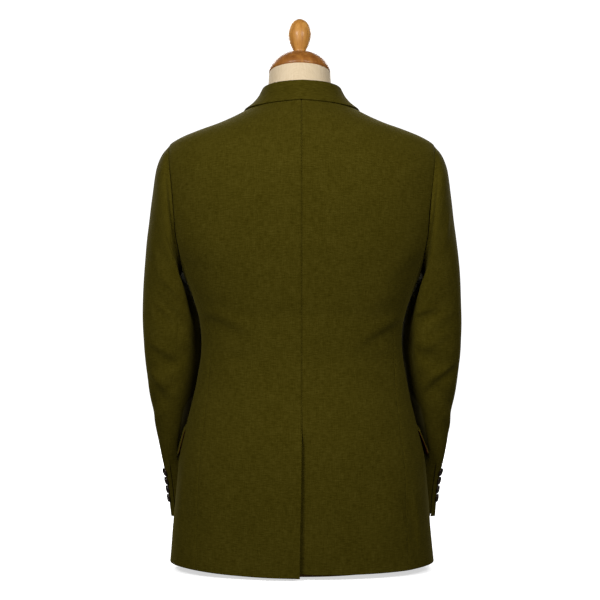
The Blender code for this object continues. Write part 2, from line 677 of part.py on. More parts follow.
def clear_of_body(points):
    """Points moved out from the body's axis where they would come too near to its surface or to a flap."""
    x, y, z = points[..., 0], points[..., 1], points[..., 2]
    power = BODY.read("squareness", z)
    deep = np.where(y >= 0, BODY.read("back", z), BODY.read("front", z))
    reach = (np.abs(x / BODY.read("half_width", z)) ** power + np.abs(y / deep) ** power) ** (1 / power)
    flap_foot = FLAP_HIND_TOP - FLAP_DEPTH
    at_flap = blend(flap_foot - FLAP_FADE_BELOW, flap_foot, z)
    at_flap = at_flap * (1 - blend(FLAP_FORE_TOP, FLAP_FORE_TOP + FLAP_FADE_ABOVE, z))
    clearance = SLEEVE_CLEARANCE + FLAP_CLEARANCE * at_flap
    radius = np.hypot(x, y)
    seam = np.where(y >= 0, ARMHOLE.read("behind", z), ARMHOLE.read("before", z))
    over_panel = (z < ARMHOLE_BOTTOM) | (x < seam + SLEEVE_CLEARANCE)
    scale = np.where(over_panel, np.maximum(1, 1 / reach + clearance / radius), 1)
    return points * np.stack([scale, scale, np.ones_like(scale)], -1)


def sleeve_dent(along, turn):
    """How deep the sleeve's folds are at a place."""
    dent = 0
    for fold in SLEEVE_FOLDS:
        off = (turn - fold["turn"] + 180) % 360 - 180
        ahead = along - fold["along"] - fold["slant"] * off
        dent = dent + fold["depth"] * np.exp(-((ahead / fold["reach"]) ** 2) - (off / fold["spread"]) ** 2)
    return dent


def sleeve_point(along, turn):
    """The outer surface of the left sleeve below the armhole."""
    read = {name: SLEEVE.read(name, along) for name in SLEEVE.values}
    cos, sin = np.cos(np.radians(turn)), np.sin(np.radians(turn))
    power = 2 / SLEEVE_SQUARENESS
    out = np.sign(cos) * np.abs(cos) ** power
    back = np.sign(sin) * np.abs(sin) ** power
    dent = sleeve_dent(along, turn)
    hugged = read["hug"] * np.exp(-(((turn % 360 - HUG_TURN) / HUG_SPREAD) ** 2))
    tucked = read["tuck"] * np.exp(-(((turn % 360 - TUCK_TURN) / TUCK_SPREAD) ** 2))
    across = (read["half_across"] - dent) * out + tucked - hugged
    deep = (read["half_deep"] - dent) * back
    yaw = np.radians(read["turn"])
    x = read["mid_x"] + across * np.cos(yaw) + deep * np.sin(yaw)
    y = read["mid_y"] - across * np.sin(yaw) + deep * np.cos(yaw)
    z = (read["outer_z"] + read["inner_z"]) / 2 + (read["outer_z"] - read["inner_z"]) / 2 * out
    return clear_of_body(np.stack([x, y, z - read["pitch"] * deep], -1))


def sleeve_grids():
    """Outer and inner points of the whole left sleeve, by turn and ring. It starts at the armhole seam, with
    its head above and a little roll of more than the cloth's thickness below, before it hangs down."""
    turns = ARMHOLE_TURNS
    angle, height = armhole_angle(turns), armhole_height(turns)
    seam = on_body(angle, height)
    normal = outward(angle, height)
    edge = unit(np.roll(seam, -1, axis=0) - np.roll(seam, 1, axis=0))
    away = unit(np.cross(edge, normal))
    away = away * np.sign(np.sum(away * (seam.mean(axis=0) - seam), axis=1))[:, None]
    from_top = 180 - np.abs(turns - 180)
    rise = normal * SLEEVE_HEAD.read("rise", from_top)[:, None]
    run = away * SLEEVE_HEAD.read("run", from_top)[:, None]
    start = seam + away * SEAM_GAP
    top = start + rise * HEAD_TOP_RISE + run * HEAD_TOP_RUN
    over = start + rise + run
    hanging = [sleeve_point(np.full(ARMHOLE_STEPS, along), turns) for along in SLEEVE_RINGS]
    outer = np.stack([start, top, over] + hanging, axis=1)
    looped = np.concatenate([outer[-1:], outer, outer[:1]])
    inner = outer - grid_normals(looped)[1:-1] * CLOTH
    inner[:, 0] = outer[:, 0] - normal * CLOTH
    return outer, inner


def pulled_in(grid, distance):
    """The grid with its first and last columns moved in, square to themselves."""
    grid = grid.copy()
    for edge, neighbour in ((0, 1), (-1, -2)):
        along = unit(np.gradient(grid[edge], axis=0))
        towards = grid[neighbour] - grid[edge]
        grid[edge] += unit(towards - along * np.sum(towards * along, axis=1)[:, None]) * distance
    return grid


def swung(points, right):
    """The right sleeve hangs out a little more than the left one."""
    swing = RIGHT_SLEEVE_SWING * (1 - blend(*SWING_HEIGHTS, points[..., 2])) if right else 0
    return points + np.stack(np.broadcast_arrays(swing, 0 * points[..., 0], 0), -1)


def build_sleeve(side, right):
    outer, inner = sleeve_grids()
    pieces = {
        "top_sleeve_": np.arange(FORE_SEAM, ARMHOLE_STEPS + HIND_SEAM + 1) % ARMHOLE_STEPS,
        "under_sleeve_": np.arange(HIND_SEAM, FORE_SEAM + 1),
    }
    for name, columns in pieces.items():
        grids = [swung(pulled_in(grid[columns], SEAM_GAP / 2), right) for grid in (outer, inner)]
        wall(name + side, *grids, right)


# ---------------------------------------------------------------- turned pieces


def turned(name, profile, place, finish, steps):
    """A solid turned from a profile that runs down its outer side, set on a place matrix."""
    mesh = bpy.data.meshes.new(name)
    edges = [(i, i + 1) for i in range(len(profile) - 1)]
    mesh.from_pydata([(radius, 0, z) for radius, z in profile], edges, [])
    obj = finished(name, mesh, finish)
    obj.matrix_world = place
    screw = obj.modifiers.new("turn", "SCREW")
    screw.steps = screw.render_steps = steps
    screw.use_merge_vertices = True
    screw.merge_threshold = 0.00001
    screw.use_smooth_shade = True
    return obj


def button_profile(radius):
    """A sewing button: a raised round rim about a flat middle."""
    thick = radius * BUTTON_THICKNESS
    return (
        (0, thick * 0.70),
        (radius * 0.66, thick * 0.72),
        (radius * 0.82, thick),
        (radius, thick * 0.60),
        (radius * 0.82, 0),
        (0, 0),
    )


def facing(point, normal):
    """The matrix that puts a turned piece on a point, its axis along the normal."""
    turn = Vector((0, 0, 1)).rotation_difference(Vector(normal)).to_matrix().to_4x4()
    return Matrix.Translation(Vector(point)) @ turn


def build_front_buttons():
    for number, height in enumerate(FRONT_BUTTON_HEIGHTS, start=1):
        angle, at = np.array([180.0]), np.array([height])
        normal = outward(angle, at)[0]
        point = on_body(angle, at, LAYER)[0] + normal * BUTTON_GAP
        profile = button_profile(FRONT_BUTTON_RADIUS)
        turned(f"front_button_{number}", profile, facing(point, normal), HORN, FRONT_BUTTON_SIDES)


def build_cuff_buttons(side, right):
    """Four buttons in a row up the hind seam of a cuff."""
    mirror = np.array([-1 if right else 1, 1, 1])
    alongs = np.linspace(*CUFF_BUTTON_SEARCH, 301)
    line = sleeve_point(alongs, np.full(alongs.shape, CUFF_BUTTON_TURN))
    for number in range(CUFF_BUTTON_COUNT):
        height = CUFF_BUTTON_LOWEST + number * CUFF_BUTTON_PITCH
        along = alongs[np.argmin(np.abs(line[:, 2] - height))]
        here, lower, further = sleeve_point(
            np.array([along, along + 0.01, along]), CUFF_BUTTON_TURN + np.array([0, 0, 1.0])
        )
        normal = unit(np.cross(further - here, lower - here))
        normal = normal * np.sign(normal[0])
        point = swung(here + normal * CUFF_BUTTON_GAP, right)
        place = facing(point * mirror, normal * mirror)
        name = f"cuff_button_{side}_{number + 1}"
        turned(name, button_profile(CUFF_BUTTON_RADIUS), place, HORN, CUFF_BUTTON_SIDES)


# ---------------------------------------------------------------- dress form


def build_torso():
    """The form's linen-covered torso and neck."""
    turns = np.arange(FORM_SIDES) * 2 * math.pi / FORM_SIDES
    shape = bmesh.new()
    rings = []
    for height in FORM_ROWS:
        read = {name: float(FORM.read(name, height)) for name in FORM.values}
        ring = []
        for turn in turns:
            x = read["shift"] + read["half_width"] * math.sin(turn)
            y = math.cos(turn) * (read["back"] if math.cos(turn) >= 0 else read["front"])
            ring.append(shape.verts.new((x, y, height + read["tilt"] * y)))
        rings.append(ring)
    for lower, upper in zip(rings, rings[1:]):
        for i in range(FORM_SIDES):
            k = (i + 1) % FORM_SIDES
            shape.faces.new([lower[i], lower[k], upper[k], upper[i]])
    shape.faces.new(rings[0])
    shape.faces.new(rings[-1])
    finished("form_torso", mesh_of("form_torso", shape), LINEN)


def build_base():
    """The oval board on which the form stands."""
    shape = bmesh.new()
    size = {"radius1": BASE_HALF_WIDTH, "radius2": BASE_HALF_WIDTH, "depth": BASE_HEIGHT}
    bmesh.ops.create_cone(shape, cap_ends=True, segments=BASE_SIDES, **size)
    bmesh.ops.scale(shape, vec=(1, BASE_HALF_DEPTH / BASE_HALF_WIDTH, 1), verts=shape.verts)
    bmesh.ops.translate(shape, vec=(0, 0, BASE_HEIGHT / 2), verts=shape.verts)
    obj = finished("form_base", mesh_of("form_base", shape), WOOD)
    bevel = obj.modifiers.new("rounding", "BEVEL")
    bevel.width = BASE_ROUNDING
    bevel.segments = 2
    bevel.angle_limit = math.radians(60)


def build_cap_and_knob():
    """The turned wooden cap on the slanting neck, and the egg-shaped knob on it."""
    place = Matrix.Translation(Vector(NECK_TOP)) @ Matrix.Rotation(NECK_TILT, 4, "X")
    dome = CAP_HEIGHT - CAP_RIM
    profile = [(0, CAP_HEIGHT)]
    for turn in np.radians(np.linspace(0, 90, CAP_STEPS)):
        radius = CAP_NECK_RADIUS + (CAP_RADIUS - CAP_NECK_RADIUS) * math.sin(turn) ** CAP_ROUNDNESS
        profile.append((radius, CAP_RIM + dome * max(math.cos(turn), 0) ** CAP_FALL))
    profile += [(CAP_RADIUS - CAP_UNDERCUT, SEAM_GAP), (0, SEAM_GAP)]
    turned("neck_cap", profile, place, WOOD, CAP_SIDES)
    knob_place = place @ Matrix.Translation(Vector((0, 0, CAP_HEIGHT + SEAM_GAP)))
    profile = [(0, KNOB_HEIGHT)]
    profile += [(float(KNOB_OUTLINE.read("radius", share)), KNOB_HEIGHT * share) for share in KNOB_SHARES]
    profile.append((0, 0))
    turned("neck_knob", profile, knob_place, WOOD, KNOB_SIDES)


def build():
    for obj in list(bpy.data.objects):
        bpy.data.objects.remove(obj, do_unlink=True)
    jacket = bpy.data.collections.new("moleskin_jacket")
    bpy.context.scene.collection.children.link(jacket)
    for side, right in (("left", False), ("right", True)):
        build_back("back_" + side, right)
        build_side("side_" + side, right)
        build_front("front_" + side, right)
        build_lapel("lapel_" + side, right)
        build_flap("pocket_flap_" + side, right)
        build_sleeve(side, right)
        build_cuff_buttons(side, right)
    build_collar()
    build_collar_stand()
    build_front_buttons()
    build_torso()
    build_base()
    build_cap_and_knob()


build()
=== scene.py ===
"""Looks of the moleskin jacket and its limbless dress form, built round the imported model.

Metres, +Z up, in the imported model's frame. The jacket's back faces +Y, where the camera stands, and the
wearer's left is +X. As in the model, a place on the jacket's body has an angle, counted from centre back (0)
over the wearer's own side (90) to centre front (180), and a height. A place on a sleeve has a share along it
and a turn round it: 0 outside, 90 behind, 180 inside. Right-hand pieces are built as left ones and mirrored.
"""

import math

import bmesh
import bpy
import numpy as np
from mathutils import Matrix, Vector


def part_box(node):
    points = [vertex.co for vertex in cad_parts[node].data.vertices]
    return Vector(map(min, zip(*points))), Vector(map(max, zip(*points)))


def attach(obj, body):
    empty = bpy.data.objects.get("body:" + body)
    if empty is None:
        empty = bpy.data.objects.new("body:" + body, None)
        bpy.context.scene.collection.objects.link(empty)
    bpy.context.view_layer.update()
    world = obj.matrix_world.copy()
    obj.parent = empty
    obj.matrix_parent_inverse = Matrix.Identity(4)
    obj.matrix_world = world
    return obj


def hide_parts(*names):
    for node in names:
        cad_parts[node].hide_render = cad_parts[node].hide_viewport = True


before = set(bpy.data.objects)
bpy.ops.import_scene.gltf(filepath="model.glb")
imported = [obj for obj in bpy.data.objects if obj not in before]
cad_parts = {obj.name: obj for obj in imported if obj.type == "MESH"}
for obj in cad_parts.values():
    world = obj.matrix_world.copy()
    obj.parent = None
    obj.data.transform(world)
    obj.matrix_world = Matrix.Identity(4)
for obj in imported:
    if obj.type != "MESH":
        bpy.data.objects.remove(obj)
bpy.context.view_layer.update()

# ---------------------------------------------------------------- sizes that the model has too

CLOTH = 0.0020
SEAM_GAP = 0.0003
LAYER_GAP = 0.0005
LAYER = CLOTH + LAYER_GAP

HEM_BACK = 0.0040
HEM_SIDE = 0.0130
RIGHT_HEM_RISE = 0.0055
RIGHT_HEM_LEVEL = 0.1400
ARMHOLE_BOTTOM = 0.4970
SHOULDER_POINT = 0.7115
NECK_SEAM_BACK = 0.7890
NECK_SEAM_SIDE = 0.7810
NECK_SEAM_FRONT = 0.7750
VENT_TOP = 0.2210
VENT_OPENING = 0.0030
VENT_UNDERLAP = 0.0350
VENT_STAND_OFF = 0.0015
VENT_FADE = 0.0700
VENT_RISE = (0.19, 0.55)
BREAK_POINT = 0.3870
RIGHT_LAPEL_START = 0.4260
OVERLAP_LEVEL = 0.0280
OVERLAP_END = 0.0780
FRONT_HEM_ANGLE = 156.0


class Table:
    """Rows with named columns, read at any place along the first column through monotone cubics."""

    def __init__(self, columns, rows):
        data = np.array(rows, float)
        self.at = data[:, 0]
        self.values = dict(zip(columns, data.T))
        self.slopes = {name: self.smooth_slopes(column) for name, column in self.values.items()}

    def smooth_slopes(self, column):
        steps = np.diff(self.at)
        rises = np.diff(column) / steps
        slopes = np.concatenate([rises[:1], np.zeros(len(rises) - 1), rises[-1:]])
        for i, (before, after) in enumerate(zip(rises[:-1], rises[1:]), start=1):
            if before * after > 0:
                near, far = steps[i] * 2 + steps[i - 1], steps[i] + steps[i - 1] * 2
                slopes[i] = (near + far) / (near / before + far / after)
        return slopes

    def read(self, name, at):
        at = np.clip(at, self.at[0], self.at[-1])
        row = np.clip(np.searchsorted(self.at, at, side="right") - 1, 0, len(self.at) - 2)
        step = self.at[row + 1] - self.at[row]
        t = (at - self.at[row]) / step
        value, slope = self.values[name], self.slopes[name]
        start = (1 + 2 * t) * (1 - t) ** 2 * value[row] + t * (1 - t) ** 2 * step * slope[row]
        end = t * t * (3 - 2 * t) * value[row + 1] + t * t * (t - 1) * step * slope[row + 1]
        return start + end


BODY = Table(
    ("height", "half_width", "back", "front", "squareness"),
    (
        (0.0020, 0.2225, 0.138, 0.129, 2.15),
        (0.0520, 0.2180, 0.139, 0.130, 2.15),
        (0.1020, 0.2140, 0.139, 0.131, 2.12),
        (0.1820, 0.2070, 0.136, 0.132, 2.10),
        (0.2490, 0.1920, 0.130, 0.133, 2.10),
        (0.3160, 0.1765, 0.122, 0.135, 2.12),
        (0.3840, 0.1680, 0.115, 0.137, 2.20),
        (0.4174, 0.1715, 0.114, 0.138, 2.25),
        (0.4510, 0.1815, 0.118, 0.141, 2.25),
        (0.4847, 0.1955, 0.123, 0.143, 2.25),
        (0.4970, 0.2005, 0.125, 0.144, 2.25),
        (0.5520, 0.2220, 0.132, 0.145, 2.30),
        (0.6120, 0.2350, 0.136, 0.138, 2.25),
        (0.6620, 0.2375, 0.132, 0.121, 2.20),
        (0.6920, 0.2330, 0.125, 0.106, 2.10),
        (0.7115, 0.2220, 0.117, 0.096, 2.00),
        (0.7230, 0.2045, 0.112, 0.089, 2.00),
        (0.7360, 0.1735, 0.106, 0.081, 2.00),
        (0.7480, 0.1398, 0.100, 0.073, 2.00),
        (0.7665, 0.1000, 0.087, 0.062, 2.00),
        (0.7800, 0.0775, 0.077, 0.055, 2.00),
        (0.7920, 0.0670, 0.070, 0.051, 2.00),
        (0.8170, 0.0580, 0.063, 0.048, 2.00),
    ),
)

ARMHOLE = Table(
    ("height", "behind", "before"),
    (
        (0.4970, 0.2005, 0.2005),
        (0.5120, 0.2015, 0.1970),
        (0.5330, 0.2040, 0.1950),
        (0.5600, 0.2085, 0.1950),
        (0.6030, 0.2117, 0.1980),
        (0.6520, 0.2165, 0.2050),
        (0.6870, 0.2208, 0.2140),
        (0.7115, 0.2220, 0.2220),
    ),
)

SIDE_SEAM_ROWS = (
    (0.0020, 52.0, 123.0),
    (0.1920, 55.0, 122.0),
    (0.3820, 66.0, 119.0),
    (0.4720, 70.0, 116.0),
)
BEHIND_HEM, BEFORE_HEM = SIDE_SEAM_ROWS[0][1:]

FRONT_EDGE = Table(
    ("height", "across"),
    (
        (0.0020, 0.0860),
        (0.0070, 0.0700),
        (0.0180, 0.0500),
        (0.0420, 0.0300),
        (0.0870, 0.0100),
        (0.1420, -0.0040),
        (0.2020, -0.0140),
        (0.2620, -0.0175),
        (0.3870, -0.0180),
        (0.4920, 0.0045),
        (0.6420, 0.0380),
        (0.7220, 0.0560),
        (0.7520, 0.0620),
        (0.7750, 0.0665),
    ),
)

SLEEVE_HEAD = Table(
    ("turn", "rise", "run"),
    (
        (0, -0.0008, 0.0048),
        (40, 0.0010, 0.0032),
        (80, 0.0030, 0.0014),
        (125, 0.0034, 0.0005),
        (180, 0.0034, 0),
    ),
)
HEAD_TOP_RISE, HEAD_TOP_RUN = 0.55, 0.35

SLEEVE = Table(
    (
        "along", "outer_z", "inner_z", "mid_x", "mid_y", "half_across", "half_deep", "turn", "pitch", "hug",
        "tuck",
    ),
    (
        (0.02, 0.7000, 0.4890, 0.2180, -0.0060, 0.0140, 0.0800, 0, 0, 0.0030, 0),
        (0.06, 0.6720, 0.4800, 0.2220, -0.0065, 0.0225, 0.0815, 0, 0, 0.0080, 0.0040),
        (0.13, 0.6240, 0.4685, 0.2215, -0.0070, 0.0300, 0.0795, 0, 0, 0.0080, 0.0090),
        (0.21, 0.5690, 0.4560, 0.2200, -0.0090, 0.0390, 0.0755, 0, 0, 0.0070, 0.0120),
        (0.28, 0.5190, 0.4410, 0.2200, -0.0110, 0.0445, 0.0710, 0, 0, 0.0060, 0.0125),
        (0.36, 0.4670, 0.4210, 0.2185, -0.0140, 0.0495, 0.0660, 1, 0, 0.0050, 0.0130),
        (0.43, 0.4220, 0.3960, 0.2165, -0.0180, 0.0525, 0.0625, 3, 0.02, 0.0040, 0.0125),
        (0.50, 0.3770, 0.3620, 0.2165, -0.0240, 0.0510, 0.0605, 6, 0.05, 0.0040, 0.0115),
        (0.60, 0.3220, 0.3120, 0.2165, -0.0370, 0.0440, 0.0600, 13, 0.08, 0.0030, 0.0070),
        (0.70, 0.2620, 0.2590, 0.2105, -0.0580, 0.0355, 0.0600, 25, 0.11, 0.0010, 0.0030),
        (0.81, 0.1970, 0.1970, 0.1980, -0.0810, 0.0280, 0.0590, 38, 0.13, 0, 0),
        (0.92, 0.1320, 0.1340, 0.1835, -0.0970, 0.0240, 0.0585, 47, 0.14, 0, 0),
        (1.00, 0.0850, 0.0880, 0.1780, -0.1040, 0.0230, 0.0585, 50, 0.14, 0, 0),
    ),
)
HUG_TURN, HUG_SPREAD = 210.0, 27.0
TUCK_TURN, TUCK_SPREAD = 163.0, 25.0
SLEEVE_FOLDS = (
    {"along": 0.415, "turn": 118, "depth": 0.0042, "reach": 0.034, "spread": 40, "slant": 0.0009},
    {"along": 0.535, "turn": 95, "depth": 0.0030, "reach": 0.032, "spread": 48, "slant": -0.0010},
    {"along": 0.645, "turn": 80, "depth": 0.0034, "reach": 0.036, "spread": 42, "slant": -0.0012},
    {"along": 0.460, "turn": 278, "depth": 0.0046, "reach": 0.034, "spread": 44, "slant": -0.0007},
    {"along": 0.560, "turn": 262, "depth": 0.0036, "reach": 0.032, "spread": 40, "slant": 0.0008},
)
SLEEVE_SQUARENESS = 2.2
SLEEVE_CLEARANCE = 0.0032
FLAP_CLEARANCE = 0.0085
FLAP_FADE_BELOW, FLAP_FADE_ABOVE = 0.0300, 0.0400
HIND_SEAM_TURN, FORE_SEAM_TURN = 105.0, 255.0
RIGHT_SLEEVE_SWING = 0.0040
SWING_HEIGHTS = (0.0900, 0.5900)

COLLAR = Table(
    ("along", "fold_angle", "fold_height", "edge_angle", "edge_height", "bow"),
    (
        (0.00, 0.0, 0.8125, 0.0, 0.7790, 0.0010),
        (0.20, 36.0, 0.8110, 34.0, 0.7755, 0.0015),
        (0.38, 68.0, 0.8080, 66.0, 0.7710, 0.0020),
        (0.52, 92.0, 0.8040, 92.0, 0.7690, 0.0020),
        (0.66, 110.0, 0.7930, 107.0, 0.7645, 0.0020),
        (0.80, 126.0, 0.7760, 119.0, 0.7580, 0.0015),
        (0.90, 144.0, 0.7580, 127.5, 0.7490, 0.0010),
        (1.00, 159.0, 0.7375, 136.0, 0.7380, 0.0000),
    ),
)
COLLAR_ROLL = 0.0015
END_SHAPING = 0.66
GORGE_SHARE = 0.55
GORGE_TOP = {"across": 0.0590, "height": 0.7375}
NOTCH = {"across": 0.0985, "height": 0.7100}
COLLAR_TIP = {"across": 0.1170, "height": 0.7380}

LAPEL_EDGE = Table(
    ("height", "across"),
    (
        (0.3870, -0.0150),
        (0.4220, 0.0130),
        (0.4720, 0.0400),
        (0.5420, 0.0730),
        (0.6120, 0.1020),
        (0.6720, 0.1235),
        (0.7080, 0.1340),
    ),
)
LAPEL_TIP_HEIGHT = 0.7045
LAPEL_ROLL = 0.0045
LAPEL_ROLL_START = 0.1

FLAP_HIND_ANGLE = 82.0
FLAP_FORE_ANGLE = 133.0
FLAP_HIND_TOP = 0.2330
FLAP_FORE_TOP = 0.2620
FLAP_DEPTH = 0.0510
FLAP_ROUNDING = 0.0120
FLAP_CORNER = 0.25
FLAP_LIFTED = 0.5

FORM = Table(
    ("height", "half_width", "back", "front", "shift", "tilt"),
    (
        (0.0203, 0.1560, 0.1020, 0.1000, 0, 0),
        (0.0920, 0.1700, 0.1110, 0.1080, 0, 0),
        (0.1820, 0.1740, 0.1130, 0.1120, 0, 0),
        (0.2820, 0.1620, 0.1040, 0.1120, 0, 0),
        (0.3820, 0.1460, 0.0940, 0.1090, 0, 0),
        (0.4620, 0.1560, 0.1020, 0.1160, 0, 0),
        (0.5420, 0.1690, 0.1120, 0.1240, 0, 0),
        (0.6120, 0.1770, 0.1180, 0.1190, 0, 0),
        (0.6620, 0.1800, 0.1150, 0.1060, 0, 0),
        (0.6920, 0.1800, 0.1110, 0.0970, 0, 0),
        (0.7120, 0.1770, 0.1075, 0.0895, 0, 0),
        (0.7260, 0.1710, 0.1040, 0.0825, 0, 0),
        (0.7360, 0.1625, 0.1015, 0.0765, 0, 0),
        (0.7480, 0.1328, 0.0968, 0.0696, 0, 0),
        (0.7665, 0.0900, 0.0820, 0.0580, 0.0010, 0),
        (0.7800, 0.0690, 0.0680, 0.0530, 0.0020, 0.03),
        (0.7920, 0.0590, 0.0580, 0.0520, 0.0030, 0.08),
        (0.8070, 0.0535, 0.0530, 0.0515, 0.0035, 0.16),
        (0.8320, 0.0515, 0.0515, 0.0515, 0.0035, 0.2309),
    ),
)
NECK_TILT = math.radians(13)
NECK_TOP = (0.0035, 0.0, 0.8320)
BASE_HEIGHT = 0.0200
BASE_HALF_WIDTH = 0.1400
BASE_HALF_DEPTH = 0.0980
CAP_RADIUS = 0.0520
CAP_RIM = 0.0040
CAP_HEIGHT = 0.0350
CAP_NECK_RADIUS = 0.0105
CAP_UNDERCUT = 0.0015
CAP_ROUNDNESS, CAP_FALL = 1.1, 1.2
KNOB_HEIGHT = 0.0620
KNOB_OUTLINE = Table(
    ("share", "radius"),
    ((0, 0.0095), (0.06, 0.0098), (0.16, 0.0125), (0.34, 0.0171), (0.55, 0.0198), (0.74, 0.0181),
     (0.90, 0.0128), (0.975, 0.0066)),
)

# ---------------------------------------------------------------- sizes of the looks

HALF_CLOTH = CLOTH / 2

# Distances between points on the cloth: the usual one, those of the collar, along and round the sleeves, and
# the closer ones beside a seam or a free edge
GRID, COLLAR_GRID, SLEEVE_GRID, SLEEVE_ROUND_GRID = 0.0042, 0.0035, 0.0036, 0.0040
EDGE_STEPS = (0.0003, 0.0007, 0.0012, 0.0019, 0.0028, 0.0040)
BESIDE_ROWS, OVER_ROWS = 56, 24     # rows of points beside the armhole and over the shoulder
TONGUE_COLUMNS = 10                 # columns of points across the vent's underlap
FOLD_COLUMNS, STAND_ROWS = 9, 9     # points round the lapels' and the collar's fold, and down the stand

# About how wide and long the pieces are, for the number of points across them
BACK_WIDTH, SIDE_WIDTH, SIDE_LENGTH, FRONT_WIDTH = 0.205, 0.115, 0.5, 0.22
LAPEL_LENGTH, LAPEL_WIDTH, COLLAR_HALF, LEAF_WIDTH = 0.34, 0.075, 0.22, 0.045
FLAP_LENGTH, SLEEVE_HANG = 0.125, 0.60
SLEEVE_GIRTH = 0.00105              # metres round the sleeve for a degree, at its widest

TURN_STEP, HEIGHT_STEP = 0.5, 0.0015        # steps in degrees and metres by which a normal is measured
SHARP_CLOTH, SHARP_TURNED, SHARP_TORSO = 70, 55, 40     # degrees from which on an edge is shaded sharp
TOLERANCE = 1e-6

SEAM_DEPTH, SEAM_WIDTH = 0.0009, 0.0014
SEAM_PRESS_WIDTH = 0.0085           # where the pressed-open allowance ends under the cloth
SEAM_PRESS_RISE, SEAM_PRESS_SPREAD = 0.00022, 0.003
CENTRE_SEAM, FAINT_SEAM = 1.7, 0.45         # how strong the centre back seam is, and the sides' and sleeves'
ARMHOLE_SEAM = 0.5                  # how strong the armhole seam is on the sleeve's side
GAP_CLOSES = (0.08, 0.26)           # heights between which the side seams' gap closes
HEM_LAP = 0.4                       # how far the panels overlap at the hem, over the gap

HEM_TURNED, CUFF_TURNED = 0.030, 0.025      # how far up the inside the turned-in cloth reaches
FACING_WIDTH = 0.085                # the same behind the front edges

VENT_BLEND = 0.003                  # above and below its top, where the vent's edges part
VENT_FADE_IN = (-0.006, 0.022)      # from and to which height over its top the swell and the dip fade
VENT_SWELL, VENT_SWELL_WIDTH = 0.0026, 0.014        # of the left back's edge
VENT_DIP, VENT_DIP_WIDTH = 0.0052, 0.0100           # of the right back under it
ARMHOLE_CURVE = 4                   # the power by which the armhole's curve fades down the side panel

POCKET_DEPTH, POCKET_WIDTH = 0.0010, 0.0016
POCKET_END = (-0.02, 0.01)          # the dip fades in between these shares of the flap's length
FLAP_STAND_OFF = {"left": 0.0010, "right": 0.0060}  # of the hind corners: 2 and 3 mm less than the solids'
FLAP_RIPPLE, FLAP_WAVES = 0.0005, 7.0
FLAP_SEAM_DEPTH, FLAP_SEAM_WIDTH = 0.0011, 0.0022

IN_NOTCH = (GORGE_SHARE - 0.03, GORGE_SHARE + 0.02)  # where the gorge seam ends and the notch begins
LAPEL_CURL, LAPEL_CURL_START = 0.0012, (0.04, 0.2)  # how far the lapels' edges stand off, and from where
LAPEL_RIPPLE, LAPEL_WAVES, LAPEL_SLANT = 0.0004, 9.0, 2.0
LAPEL_SWAY, LAPEL_SWAY_WAVES = 0.0006, 5.3
LEAF_START = 0.07                   # share of the leaf that its fold takes
LEAF_AHEAD = 3                      # columns over which the leaf's direction at the fold is measured
STAND_LEAST = 0.0012                # the stand's height at the collar's ends

HEAD_SHARES, HEAD_RINGS = (0.02, 0.06, 0.09), (2, 3, 6, 6)  # how the sleeve's head joins what hangs below it
HANGS_FROM = HEAD_SHARES[1]
UNDERARM_FADE, BESIDE_FADE = 0.010, 0.006   # where the sleeve comes clear of the underarm and of the armhole
CLEARING_SOFTNESS = 0.008           # how gently it is moved off the body, as a share of the body's own size
SLEEVE_RADIUS = 0.05                # of the waves round it
SLEEVE_PHASE = {"left": 0.3, "right": 0.9}
SLEEVE_WAVES_START = (0.06, 0.2)
CUFF_VENT_TOP, CUFF_VENT_BLEND = 0.835, 0.004
CUFF_VENT_OPENS = (CUFF_VENT_TOP - 0.01, CUFF_VENT_TOP + 0.02)
CUFF_VENT_LIFT = {"top": 0.0016, "under": -0.0004}  # of the top sleeve's edge and of the under sleeve's
CUFF_VENT_SPREAD = 16.0             # degrees round the sleeve


# ---------------------------------------------------------------- the body's surface


def section_point(angle, height):
    """The outer surface of the jacket's body."""
    turn = np.radians(angle)
    power = BODY.read("squareness", height)
    deep = np.where(np.cos(turn) >= 0, BODY.read("back", height), -BODY.read("front", height))
    x = BODY.read("half_width", height) * np.sin(turn)
    y = deep * np.maximum(1 - np.abs(np.sin(turn)) ** power, 0) ** (1 / power)
    return np.stack(np.broadcast_arrays(x, y, height), -1)


def unit(vectors):
    return vectors / np.linalg.norm(vectors, axis=-1, keepdims=True)


def outward(angle, height):
    """The unit normal of the body's surface."""
    round_it = section_point(angle + TURN_STEP, height) - section_point(angle - TURN_STEP, height)
    up_it = section_point(angle, height + HEIGHT_STEP) - section_point(angle, height - HEIGHT_STEP)
    return unit(np.cross(up_it, round_it))


def on_body(angle, height, lift=0.0):
    """A point on the body's surface, moved out by lift."""
    return section_point(angle, height) + outward(angle, height) * np.asarray(lift)[..., None]


def angle_at(x, height, front):
    """The angle at which the surface has this x, on its front or its back half."""
    behind = np.degrees(np.arcsin(np.clip(x / BODY.read("half_width", height), -1, 1)))
    return 180 - behind if front else behind


def metres_round(angle, height):
    """How far one degree goes round the surface."""
    return np.linalg.norm(section_point(angle + 0.5, height) - section_point(angle - 0.5, height), axis=-1)


def moved_round(angle, height, distance):
    """The angle at this distance round the surface from another."""
    return angle + distance / metres_round(angle, height)


def blend(low, high, value):
    """0 below low, 1 above high, smooth in between."""
    t = np.clip((value - low) / (high - low), 0, 1)
    return t * t * (3 - 2 * t)


def hem_height(angle):
    """The height of the hem, which is lowest at centre back and centre front."""
    return HEM_BACK + (HEM_SIDE - HEM_BACK) * np.sin(np.radians(angle)) ** 2


def neck_seam(angle):
    """The height of the neck seam between centre back and the side."""
    return NECK_SEAM_BACK + (NECK_SEAM_SIDE - NECK_SEAM_BACK) * np.minimum(angle / 90, 1) ** 2


def armhole_height(turn):
    """The height at a turn round the armhole: 0 at the shoulder point, 90 behind, 180 under the arm."""
    middle, half = (SHOULDER_POINT + ARMHOLE_BOTTOM) / 2, (SHOULDER_POINT - ARMHOLE_BOTTOM) / 2
    return middle + half * np.cos(np.radians(turn))


